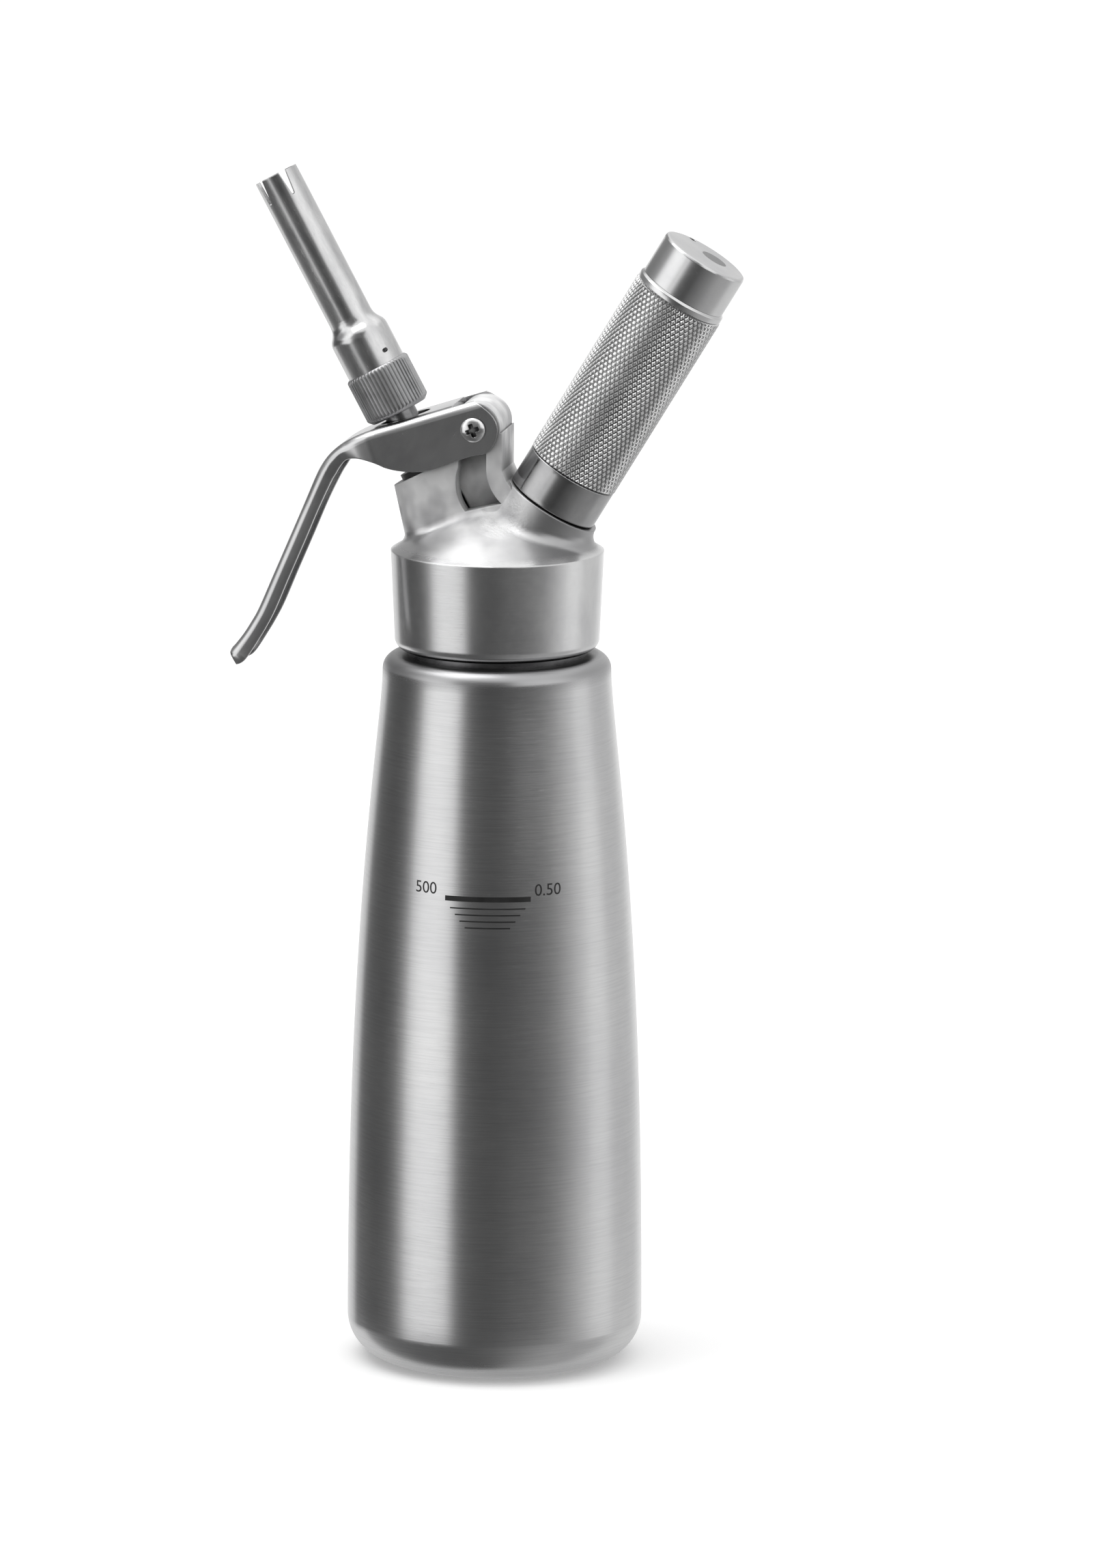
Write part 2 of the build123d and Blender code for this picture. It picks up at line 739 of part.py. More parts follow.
def holder_grip():
    inner = barrel_r + join_gap
    points = [
        (inner, ring_top_h), (grip_r - 0.5, ring_top_h), (grip_r, ring_top_h + 0.5),
        (grip_r, grip_top_h - 0.5), (grip_r - 0.5, grip_top_h), (inner, grip_top_h),
    ]
    return holder_frame * turned(points)


def holder_trim_ring():
    inner = barrel_r + join_gap
    points = [
        (inner, grip_top_h), (trim_r - 0.2, grip_top_h),
        (trim_r, grip_top_h + 0.2), (trim_r, grip_top_h + 1.2),
        (trim_r - 0.35, trim_top_h - 0.2), (trim_r - 0.6, trim_top_h), (inner, trim_top_h),
    ]
    return holder_frame * turned(points)


def holder_end_cap():
    # cup over the end of the barrel, flat top with a blind spanner hole and a round inlay seat
    inner = barrel_r + join_gap
    body = turned([
        (0, barrel_top_h), (inner, barrel_top_h), (inner, trim_top_h), (cap_r, trim_top_h),
        (cap_r, cap_top_h - cap_edge), (cap_r - 0.25, cap_top_h - 0.2),
        (cap_r - cap_edge, cap_top_h), (0, cap_top_h),
    ])
    hole = Pos(cap_hole_x, cap_hole_y, 0) * rod(cap_hole_r, cap_top_h - cap_hole_depth, cap_top_h + 1)
    seat = Pos(inlay_x, inlay_y, 0) * rod(inlay_r + join_gap, cap_top_h - inlay_thick, cap_top_h + 1)
    return holder_frame * (body - hole - seat)


def holder_cap_inlay():
    return holder_frame * Pos(inlay_x, inlay_y, 0) * rod(inlay_r, cap_top_h - inlay_thick, cap_top_h)


def holder_pad():
    # soft cup that fits the round end of the charger
    dome = charger_foot_h + charger_len - charger_r
    body = rod(barrel_bore - 0.1, dome + pad_dome, barrel_top_h)
    hollow = Pos(0, 0, dome) * Sphere(charger_r + 0.15)
    return holder_frame * (body - hollow)


parts = {
    "bottle_shell": bottle_shell,
    "neck_ring": neck_ring,
    "head_gasket": head_gasket,
    "head_body": head_body,
    "valve_gland": valve_gland,
    "stem_o_ring": stem_o_ring,
    "valve_spring": valve_spring,
    "stem_collar": stem_collar,
    "valve_stem": valve_stem,
    "valve_foot": valve_foot,
    "valve_seal": valve_seal,
    "nozzle_seal": nozzle_seal,
    "nozzle_nut": nozzle_nut,
    "nozzle_tip": nozzle_tip,
    "lever": lever,
    "pivot_sleeve": pivot_sleeve,
    "pivot_screw": pivot_screw,
    "pivot_nut": pivot_nut,
    "pin_holder": pin_holder,
    "piercing_pin": piercing_pin,
    "charger_gasket": charger_gasket,
    "gas_check_valve": gas_check_valve,
    "gas_charger": gas_charger,
    "holder_barrel": holder_barrel,
    "holder_ring": holder_ring,
    "holder_grip": holder_grip,
    "holder_trim_ring": holder_trim_ring,
    "holder_end_cap": holder_end_cap,
    "holder_cap_inlay": holder_cap_inlay,
    "holder_pad": holder_pad,
}

os.makedirs("parts", exist_ok=True)
for name, make in parts.items():
    solid = make()
    print(name, round(solid.volume, 1), len(solid.solids()), solid.is_valid)
    export_step(solid, "parts/" + name + ".step")
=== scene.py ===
import json
import math
import bpy
import bmesh
import numpy as np
from mathutils import Matrix, Vector


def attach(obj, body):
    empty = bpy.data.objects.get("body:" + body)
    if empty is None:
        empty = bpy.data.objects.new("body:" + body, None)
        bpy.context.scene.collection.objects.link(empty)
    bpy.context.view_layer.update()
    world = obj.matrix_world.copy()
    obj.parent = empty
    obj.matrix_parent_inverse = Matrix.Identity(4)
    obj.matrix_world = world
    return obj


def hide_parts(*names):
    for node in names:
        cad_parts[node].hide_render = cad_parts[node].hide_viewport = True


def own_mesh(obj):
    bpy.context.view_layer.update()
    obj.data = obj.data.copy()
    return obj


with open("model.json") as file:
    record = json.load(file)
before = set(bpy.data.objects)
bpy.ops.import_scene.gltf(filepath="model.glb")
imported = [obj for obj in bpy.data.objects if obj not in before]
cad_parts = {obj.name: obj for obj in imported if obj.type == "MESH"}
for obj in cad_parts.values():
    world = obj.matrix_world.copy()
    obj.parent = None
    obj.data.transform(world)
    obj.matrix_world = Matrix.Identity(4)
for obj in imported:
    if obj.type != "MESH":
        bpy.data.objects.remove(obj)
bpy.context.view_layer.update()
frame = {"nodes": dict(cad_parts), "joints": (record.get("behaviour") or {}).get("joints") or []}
nodes = frame["nodes"]
joints = {joint["name"]: joint for joint in frame["joints"]}
mm = 0.001
valveTilt, holderTilt = 28.2, -31.2  # slant of the two axes from upright, in degrees
mergeWithin, sliverUnder = 1e-7, 1e-8  # in metres


def linearColour(hexText):
    # sRGB hex text to linear RGBA
    value = np.array([int(hexText[k:k + 2], 16) / 255 for k in (1, 3, 5)])
    line = np.where(value <= 0.04045, value / 12.92, ((value + 0.055) / 1.055) ** 2.4)
    return (*line.tolist(), 1.0)


# node kinds: type, what is set on it, the inputs that values and links go to in order, its output
nodeKinds = {
    "place": ("TexCoord", {}, (), "Object"),
    "around": ("TexCoord", {}, (), "Generated"),
    "cameraRay": ("LightPath", {}, (), "Is Camera Ray"),
    "grooveDepth": ("Attribute", {"attribute_name": "grooveDepth"}, (), "Fac"),
    "parts": ("SeparateXYZ", {}, (0,), None),
    "turn": ("Mapping", {}, ("Vector", "Rotation"), 0),
    "scale": ("Mapping", {}, ("Vector", "Scale"), 0),
    "distance": ("VectorMath", {"operation": "DISTANCE"}, (0, 1), "Value"),
    "dot": ("VectorMath", {"operation": "DOT_PRODUCT"}, (0, 1), "Value"),
    "noise": ("TexNoise", {"Scale": 1.0, "Detail": 2.0, "Roughness": 0.55},
              ("Vector", "Detail", "Roughness"), 0),
    "curve": ("FloatCurve", {}, ("Value",), 0),
    "remap": ("MapRange", {}, ("Value", "From Min", "From Max", "To Min", "To Max"), 0),
    "ease": ("MapRange", {"interpolation_type": "SMOOTHSTEP"}, ("Value", "From Min", "From Max"), 0),
    "mixLevel": ("Mix", {"data_type": "FLOAT"}, (0, 2, 3), 0),
    "blend": ("Mix", {"data_type": "RGBA"}, (0, 6, 7), 2),
    "bump": ("Bump", {"Strength": 1.0}, ("Height", "Distance", "Normal"), 0),
    "softEdge": ("Bevel", {"samples": 6}, ("Radius",), 0),
    "openness": ("AmbientOcclusion", {"samples": 8}, ("Distance",), "AO"),
    "diffuse": ("BsdfDiffuse", {}, ("Color",), 0),
    "glow": ("Emission", {}, ("Color", "Strength"), 0),
    "backdrop": ("Background", {}, ("Color", "Strength"), 0),
    "sum": ("AddShader", {}, (0, 1), 0),
    "surface": ("BsdfPrincipled", {}, ("Metallic",), None),
    "output": ("OutputMaterial", {}, ("Surface",), None),
    "worldOutput": ("OutputWorld", {}, ("Surface",), None),
}
for operation in ("add", "subtract", "multiply", "arctan2"):
    nodeKinds[operation] = ("Math", {"operation": operation.upper()}, (0, 1), 0)


def addNode(tree, kind, *inputs):
    # one node of a kind; an input takes a number, a hex colour or a link, and None leaves it as it is
    nodeType, settings, sockets, output = nodeKinds[kind]
    node = tree.nodes.new("ShaderNode" + nodeType)
    for key, value in settings.items():
        if key in node.inputs:
            node.inputs[key].default_value = value
        else:
            setattr(node, key, value)
    for socket, value in zip(sockets, inputs):
        if isinstance(value, bpy.types.NodeSocket):
            tree.links.new(value, node.inputs[socket])
        elif value is not None:
            node.inputs[socket].default_value = linearColour(value) if isinstance(value, str) else value
    return node if output is None else node.outputs[output]


# camera, at the viewing height and turn of a tabletop shot; lengths in metres, sensor in mm
cameraSet = {
    "azimuth": 10.5, "distance": 2.5, "height": 0.644,
    "pitch": 11.1, "yaw": 0.34, "roll": 0.285,
    "focalPixels": 14200, "framePixels": 2296, "sensor": 36, "clipStart": 0.05,
}


def placeCamera(place):
    # looks down by the pitch, turned off the object's axis by the yaw, tipped by the roll
    az, pitch, yaw, roll = (math.radians(place[k]) for k in ("azimuth", "pitch", "yaw", "roll"))
    spot = Vector((place["distance"] * math.sin(az), -place["distance"] * math.cos(az), place["height"]))
    ahead = Vector((-math.sin(az), math.cos(az), 0))
    side = Vector((math.cos(az), math.sin(az), 0))
    up = Vector((0, 0, 1))
    level = ahead * math.cos(yaw) + side * math.sin(yaw)
    across = side * math.cos(yaw) - ahead * math.sin(yaw)
    view = level * math.cos(pitch) - up * math.sin(pitch)
    top = up * math.cos(pitch) + level * math.sin(pitch)
    rightHand = across * math.cos(roll) + top * math.sin(roll)
    upward = top * math.cos(roll) - across * math.sin(roll)
    data = bpy.data.cameras.new("camera")
    data.sensor_fit = "VERTICAL"
    data.sensor_height = place["sensor"]
    data.lens = place["focalPixels"] / place["framePixels"] * place["sensor"]
    data.clip_start = place["clipStart"]
    data.dof.use_dof = False
    camera = bpy.data.objects.new("camera", data)
    bpy.context.scene.collection.objects.link(camera)
    camera.matrix_world = Matrix((
        (rightHand.x, upward.x, -view.x, spot.x),
        (rightHand.y, upward.y, -view.y, spot.y),
        (rightHand.z, upward.z, -view.z, spot.z),
        (0, 0, 0, 1),
    ))
    bpy.context.scene.camera = camera
    print("camera placed")


studio = {
    # turn from the camera's side in degrees, and how bright the room is there
    "bands": [
        (-180, 0.95), (-150, 0.80), (-136, 0.22), (-118, 0.13), (-98, 0.14), (-84, 0.35), (-72, 1.05),
        (-58, 1.30), (-44, 1.20), (-34, 0.55), (-24, 0.17), (-8, 0.11), (12, 0.13), (30, 0.17), (45, 0.26),
        (60, 0.46), (78, 0.80), (94, 1.02), (112, 0.78), (135, 0.74), (160, 0.95), (180, 0.95),
    ],
    "upperBands": [
        (-180, 0.95), (-140, 0.30), (-104, 0.40), (-84, 1.10), (-66, 1.45), (-52, 1.35), (-42, 0.60),
        (-30, 0.30), (0, 0.20), (12, 0.32), (24, 1.10), (60, 1.25), (84, 0.95), (110, 0.78), (180, 0.95),
    ],
    "lowerBands": [
        (-180, 0.70), (-150, 0.90), (-134, 0.90), (-118, 0.40), (-95, 0.22), (-60, 0.16), (-10, 0.15),
        (20, 0.28), (50, 0.45), (90, 0.55), (120, 0.80), (180, 0.70),
    ],
    # heights of the view direction between which one storey of the room goes over into the next
    "upperSpan": (0.06, 0.14), "overheadSpan": (0.50, 0.80), "lowerSpan": (-0.25, -0.35),
    "overheadLevel": 1.25, "brightest": 2.0,
    "floorHex": "#e6e6e6", "floorLift": 0.25, "floorHalf": 6.0, "floorDrop": 0.2 * mm,
    "lampPower": 9.0, "lampSize": 1.1, "lampSpot": (-0.55, -0.2, 1.7), "lampAim": (0, 0, 0.15),
}


def bandLevel(tree, share, bands, brightest):
    # brightness by turn, from a list of (degrees, level)
    level = addNode(tree, "curve", share)
    mapping = level.node.mapping
    curve = mapping.curves[0]
    spots = [((azimuth + 180) / 360, level / brightest) for azimuth, level in bands]
    curve.points[0].location = spots[0]
    curve.points[-1].location = spots[-1]
    for spot in spots[1:-1]:
        curve.points.new(*spot)
    mapping.update()
    return addNode(tree, "multiply", level, brightest)


def studioWorld(rig):
    # soft boxes and dark flags as bands of brightness round the object, an overhead box, white backdrop
    world = bpy.data.worlds.new("studio")
    bpy.context.scene.world = world
    world.use_nodes = True
    tree = world.node_tree
    tree.nodes.clear()
    turned = addNode(tree, "turn", addNode(tree, "around"), (0, 0, -math.radians(cameraSet["azimuth"])))
    parts = addNode(tree, "parts", turned).outputs
    toward = addNode(tree, "multiply", parts["Y"], -1.0)
    share = addNode(tree, "remap", addNode(tree, "arctan2", parts["X"], toward), -math.pi, math.pi, 0.0, 1.0)
    level, upper, lower = (bandLevel(tree, share, rig[key], rig["brightest"])
                           for key in ("bands", "upperBands", "lowerBands"))
    for key, above in (("upperSpan", upper), ("overheadSpan", rig["overheadLevel"]), ("lowerSpan", lower)):
        level = addNode(tree, "mixLevel", addNode(tree, "ease", parts["Z"], *rig[key]), level, above)
    seen = addNode(tree, "mixLevel", addNode(tree, "cameraRay"), level, 1.0)
    addNode(tree, "worldOutput", addNode(tree, "backdrop", "#ffffff", seen))
    print("studio lit")


def studioFloor(rig):
    # matt white table that keeps the soft shadow, lifted to white where the camera sees it
    half, low = rig["floorHalf"], -rig["floorDrop"]
    mesh = bpy.data.meshes.new("floor")
    corners = [(-half, -half, low), (half, -half, low), (half, half, low), (-half, half, low)]
    mesh.from_pydata(corners, [], [(0, 1, 2, 3)])
    floor = bpy.data.objects.new("floor", mesh)
    bpy.context.scene.collection.objects.link(floor)
    floor.visible_glossy = False
    matt = bpy.data.materials.new("mattTableTop")
    matt.use_nodes = True
    tree = matt.node_tree
    tree.nodes.clear()
    lift = addNode(tree, "multiply", addNode(tree, "cameraRay"), rig["floorLift"])
    paint, glow = addNode(tree, "diffuse", rig["floorHex"]), addNode(tree, "glow", "#ffffff", lift)
    addNode(tree, "output", addNode(tree, "sum", paint, glow))
    mesh.materials.append(matt)
    lamp = bpy.data.lights.new("softbox", "AREA")
    lamp.energy = rig["lampPower"]
    lamp.size = rig["lampSize"]
    box = bpy.data.objects.new("softbox", lamp)
    box.location = rig["lampSpot"]
    box.rotation_euler = (Vector(rig["lampSpot"]) - Vector(rig["lampAim"])).to_track_quat("Z", "Y").to_euler()
    box.visible_camera = False
    bpy.context.scene.collection.objects.link(box)
    print("floor and softbox placed")


def slantedFrame(axis, start):
    # 4 by 4 matrix: z along the axis, y across the object, x square to both; it starts at a point in mm
    up = np.array(axis, float) / np.linalg.norm(axis)
    across = np.array([0.0, 1.0, 0.0])
    return np.column_stack([np.append(np.cross(across, up), 0), np.append(across, 0), np.append(up, 0),
                            np.append(np.array(start, float) * mm, 1)])


# the two slanted axes, along the joints that slide on them, and the point where the lever turns
valveFrame = slantedFrame([-value for value in joints["valve_press"]["axis"]], (-18.4, 0, 237.1))
holderFrame = slantedFrame(joints["charger_lift"]["axis"], (14.8, 0, 229.3))
pivotPoint = np.array([-4.6, 0, 249.0]) * mm
uprightFrame = np.eye(4)


def moved(points, matrix):
    # points of any shape (..., 3) carried by a 4 by 4 matrix
    return points @ matrix[:3, :3].T + matrix[:3, 3]


def fullTurn(count):
    # angles round a circle, one in each row
    return np.linspace(0, 2 * math.pi, count, endpoint=False)[:, None]


def ringed(radius, angle, height):
    # points (r cos a, r sin a, h) in metres from sizes in mm
    return np.stack([radius * np.cos(angle), radius * np.sin(angle), height + 0 * angle], axis=-1) * mm


def gridCorners(nu, nv, wrapU, wrapV):
    # the four corners of every quad of a grid of nu by nv points
    u = np.arange(nu if wrapU else nu - 1)
    v = np.arange(nv if wrapV else nv - 1)
    uu, vv = (a.ravel() for a in np.meshgrid(u, v, indexing="ij"))
    nextU, nextV = (uu + 1) % nu, (vv + 1) % nv
    return uu * nv + vv, nextU * nv + vv, nextU * nv + nextV, uu * nv + nextV


def gridPiece(name, points, wrapU=False, wrapV=False, flip=False, sharpAngle=35):
    # points (nu, nv, 3) joined into quads, doubles merged, sharp where faces meet at more than the angle
    quads = np.stack(gridCorners(*points.shape[:2], wrapU, wrapV), axis=1)
    if flip:
        quads = quads[:, ::-1]
    mesh = bpy.data.meshes.new(name)
    mesh.from_pydata(points.reshape(-1, 3).tolist(), [], quads.tolist())
    return finishMesh(name, mesh, sharpAngle)


def finishMesh(name, mesh, sharpAngle=35):
    # merges doubles, drops slivers, smooths and links the piece
    work = bmesh.new()
    work.from_mesh(mesh)
    bmesh.ops.remove_doubles(work, verts=work.verts, dist=mergeWithin)
    bmesh.ops.dissolve_degenerate(work, edges=work.edges, dist=sliverUnder)
    work.to_mesh(mesh)
    work.free()
    mesh.validate()
    mesh.shade_smooth()
    mesh.set_sharp_from_angle(angle=math.radians(sharpAngle))
    piece = bpy.data.objects.new(name, mesh)
    bpy.context.scene.collection.objects.link(piece)
    return piece


def roundedLine(corners, steps=5, mostOfSide=0.49):
    # closed line through corners (a, b, radius): each becomes an arc of that radius, tangent to both sides
    line = []
    for index, (a, b, radius) in enumerate(corners):
        here = np.array([a, b], float)
        if radius <= 0:
            line.append(here)
            continue
        before = np.array(corners[index - 1][:2], float) - here
        after = np.array(corners[(index + 1) % len(corners)][:2], float) - here
        lengths = np.linalg.norm(before), np.linalg.norm(after)
        before, after = before / lengths[0], after / lengths[1]
        half = math.acos(np.clip(before @ after, -1, 1)) / 2
        run = min(radius / math.tan(half), mostOfSide * min(lengths))
        reach = run / math.cos(half)
        centre = here + (before + after) / np.linalg.norm(before + after) * reach
        start, end = here + before * run - centre, here + after * run - centre
        sweep = math.atan2(start[0] * end[1] - start[1] * end[0], start @ end)
        for t in np.linspace(0, 1, steps + 1):
            c, s = math.cos(sweep * t), math.sin(sweep * t)
            line.append(centre + np.array([c * start[0] - s * start[1], s * start[0] + c * start[1]]))
    return np.array(line)


def denseLine(line, longest):
    # splits long straight runs so that a pattern of the surface has points to move
    out = []
    for start, end in zip(line[:-1], line[1:]):
        pieces = max(1, math.ceil(np.linalg.norm(end - start) / longest))
        out.append(start + (end - start) * np.linspace(0, 1, pieces, endpoint=False)[:, None])
    out.append(line[-1:])
    return np.concatenate(out)


def turnedPiece(name, line, matrix, segments=160):
    # closed line of (radius, height) in mm turned round the z axis of the matrix
    points = ringed(line[None, :, 0], fullTurn(segments), line[None, :, 1])
    return gridPiece(name, moved(points, matrix), wrapU=True, wrapV=True)


def bezierLine(a, b, c, d, steps):
    # cubic curve through a and d, pulled towards b and c
    t = np.linspace(0, 1, steps + 1)[:, None]
    a, b, c, d = (np.array(p, float) for p in (a, b, c, d))
    return a * (1 - t) ** 3 + 3 * b * t * (1 - t) ** 2 + 3 * c * t ** 2 * (1 - t) + d * t ** 3


def dress(piece, material, body, *replaced, slot=None):
    # material, body that carries it, CAD nodes it stands for
    piece.data.materials.clear()
    piece.data.materials.append(material)
    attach(piece, body)
    if replaced:
        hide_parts(*replaced)


# materials: helpers first, then each real surface with what its making gives the eye
def newMaterial(name, metallic=0.0):
    # Principled surface with nothing linked to it yet
    material = bpy.data.materials.new(name)
    material.use_nodes = True
    tree = material.node_tree
    tree.nodes.clear()
    shader = addNode(tree, "surface", metallic)
    addNode(tree, "output", shader.outputs[0])
    return material, tree, shader


def surfacePoint(tree, size, tilt=0.0):
    # place turned by the tilt about Y, then divided by the grain size in mm along each axis
    turned = addNode(tree, "turn", addNode(tree, "place"), (0, math.radians(tilt), 0))
    return addNode(tree, "scale", turned, tuple(1 / mm / value for value in size))


def hollowShade(tree, reach, low, high, most):
    # share of painted shade: 0 in the open, up to the most in a hollow, by how much is shut off within the
    # reach in mm
    return addNode(tree, "remap", addNode(tree, "openness", reach * mm), low, high, most, 0.0)


def feeding(shader, socket):
    # what already feeds a socket of the shader
    return shader.inputs[socket].links[0].from_socket


def stainAndShade(tree, shader, share, colour):
    # another colour over what is there, by the share: real tone and painted shade alike
    both = addNode(tree, "blend", share, feeding(shader, "Base Color"), colour)
    tree.links.new(both, shader.inputs["Base Color"])


def dull(tree, shader, share, amount):
    # rougher by the amount where the share is 1
    more = addNode(tree, "multiply", share, amount)
    tree.links.new(addNode(tree, "add", feeding(shader, "Roughness"), more), shader.inputs["Roughness"])


# what a worn metal has unless its own look says otherwise; grain, smear and marks are sizes in mm
wornBase = {
    "tilt": 0.0, "marks": (0.9, 0.9, 0.18), "roughGrain": 0.04, "edge": 0.0,
    "grainNoise": (3.0,), "smearNoise": (4.0, 0.6), "marksNoise": (1.0,),
    "grainSpan": (0.2, 0.8), "tintSpan": (0.3, 0.7), "roughSpan": (0.25, 0.75), "scratchSpan": (0.66, 0.74),
    "scratchRough": 0.08, "scratchDepth": 0.5,
}


def wornMetal(name, ownLook):
    # metal with a grain, handling smears and short scratches; each look says how much of which
    look = {**wornBase, **ownLook}
    material, tree, shader = newMaterial(name, 1.0)
    grain, smear, marks = (
        addNode(tree, "noise", surfacePoint(tree, look[key], look["tilt"]), *look[key + "Noise"])
        for key in ("grain", "smear", "marks"))
    scratch = addNode(tree, "remap", marks, *look["scratchSpan"], 0.0, 1.0)
    tint = addNode(tree, "blend", addNode(tree, "remap", smear, *look["tintSpan"], 0.0, 1.0), *look["hexes"])
    rough = addNode(tree, "remap", smear, *look["roughSpan"], *look["rough"])
    uneven = addNode(tree, "remap", grain, *look["grainSpan"], -look["roughGrain"], look["roughGrain"])
    rough = addNode(tree, "add", rough, uneven)
    rough = addNode(tree, "add", rough, addNode(tree, "multiply", scratch, look["scratchRough"]))
    normal = addNode(tree, "softEdge", look["edge"] * mm) if look["edge"] else None
    height = addNode(tree, "subtract", grain, addNode(tree, "multiply", scratch, look["scratchDepth"]))
    tree.links.new(tint, shader.inputs["Base Color"])
    tree.links.new(rough, shader.inputs["Roughness"])
    relief = addNode(tree, "bump", height, look["grainDepth"] * mm, normal)
    tree.links.new(relief, shader.inputs["Normal"])
    return material, tree, shader


bottleFinish = {
    "grain": (6.0, 6.0, 0.14), "smear": (30.0, 30.0, 45.0), "marks": (3.2, 3.2, 0.28),
    "hexes": ("#c2c2c3", "#cfcfcf"), "rough": (0.16, 0.20), "roughGrain": 0.045,
    "scratchRough": 0.05, "scratchDepth": 0.3, "grainDepth": 0.0026,
    # spun shoulder and foot, heights in metres, and how much rougher they are; the shoulder also takes a
    # darker colour as painted shade
    "shoulderSpan": (0.1825, 0.1865), "shoulderShadeHex": "#a2a2a3", "footSpan": (0.002, 0.010), "footShare": 0.8,
    "spunRough": 0.16,
    # painted shade under the collar and round the foot: reach in mm, span of openness, most of it
    "paintedShade": (12, 0.3, 0.8, 0.85), "paintedShadeHex": "#3a3a3a", "footShadeSpan": (0.0, 0.010), "footShadeShare": 0.5,
    # coarser brush lines over the whole wall
    "lines": (14.0, 14.0, 0.35), "linesDetail": 2.0, "linesRough": 0.6, "linesSpan": (0.40, 0.70),
    "linesShare": 0.2, "linesHex": "#a4a4a5",
}


def brushedStainless(look):
    # bottle: long soft reflections drawn out upright by fine level brush lines, duller where it was spun;
    # painted shade on the shoulder, under the collar and round the foot
    material, tree, shader = wornMetal("brushedStainless", look)
    height = addNode(tree, "parts", addNode(tree, "place")).outputs["Z"]
    shoulder = addNode(tree, "remap", height, *look["shoulderSpan"], 0.0, 1.0)
    foot = addNode(tree, "remap", height, *look["footSpan"], look["footShare"], 0.0)
    dull(tree, shader, addNode(tree, "add", shoulder, foot), look["spunRough"])
    lines = addNode(tree, "noise", surfacePoint(tree, look["lines"]), look["linesDetail"], look["linesRough"])
    lines = addNode(tree, "remap", lines, *look["linesSpan"], 0.0, look["linesShare"])
    stainAndShade(tree, shader, lines, look["linesHex"])
    # darker shoulder colour: painted shade that tones down its reflection
    stainAndShade(tree, shader, shoulder, look["shoulderShadeHex"])
    # painted shade of the recess under the collar and of the floor round the foot, by how shut off each spot
    # is
    footShade = addNode(tree, "remap", height, *look["footShadeSpan"], look["footShadeShare"], 0.0)
    kept = addNode(tree, "add", shoulder, footShade)
    stainAndShade(tree, shader, addNode(tree, "multiply", hollowShade(tree, *look["paintedShade"]), kept), look["paintedShadeHex"])
    return material


def polishedSteel(name, tilt, edge=0.12):
    # turned and polished: crisp dark and white streaks with hairline tool rings
    return wornMetal(name, {
        "tilt": tilt, "grain": (6.0, 6.0, 0.10), "smear": (9.0, 9.0, 12.0), "marks": (1.4, 1.4, 0.2),
        "hexes": ("#c9c9ca", "#d4d4d4"), "rough": (0.10, 0.17), "roughGrain": 0.03,
        "grainDepth": 0.0012, "edge": edge,
    })[0]


screwFinish = {
    "grain": (0.3, 0.3, 0.3), "smear": (1.5, 1.5, 1.5), "marks": (0.25, 0.25, 0.8),
    "hexes": ("#cccccc", "#e4e4e4"), "rough": (0.14, 0.24), "grainDepth": 0.003,
    # painted shade in the cross: reach in mm, span of openness, most of it
    "paintedShade": (1.5, 0.4, 0.85, 0.9), "paintedShadeHex": "#262626",
}


def screwMetal(look):
    # bright nickel, rubbed on the dome, painted shade in the cross
    material, tree, shader = wornMetal("brightNickelScrew", look)
    stainAndShade(tree, shader, hollowShade(tree, *look["paintedShade"]), look["paintedShadeHex"])
    return material


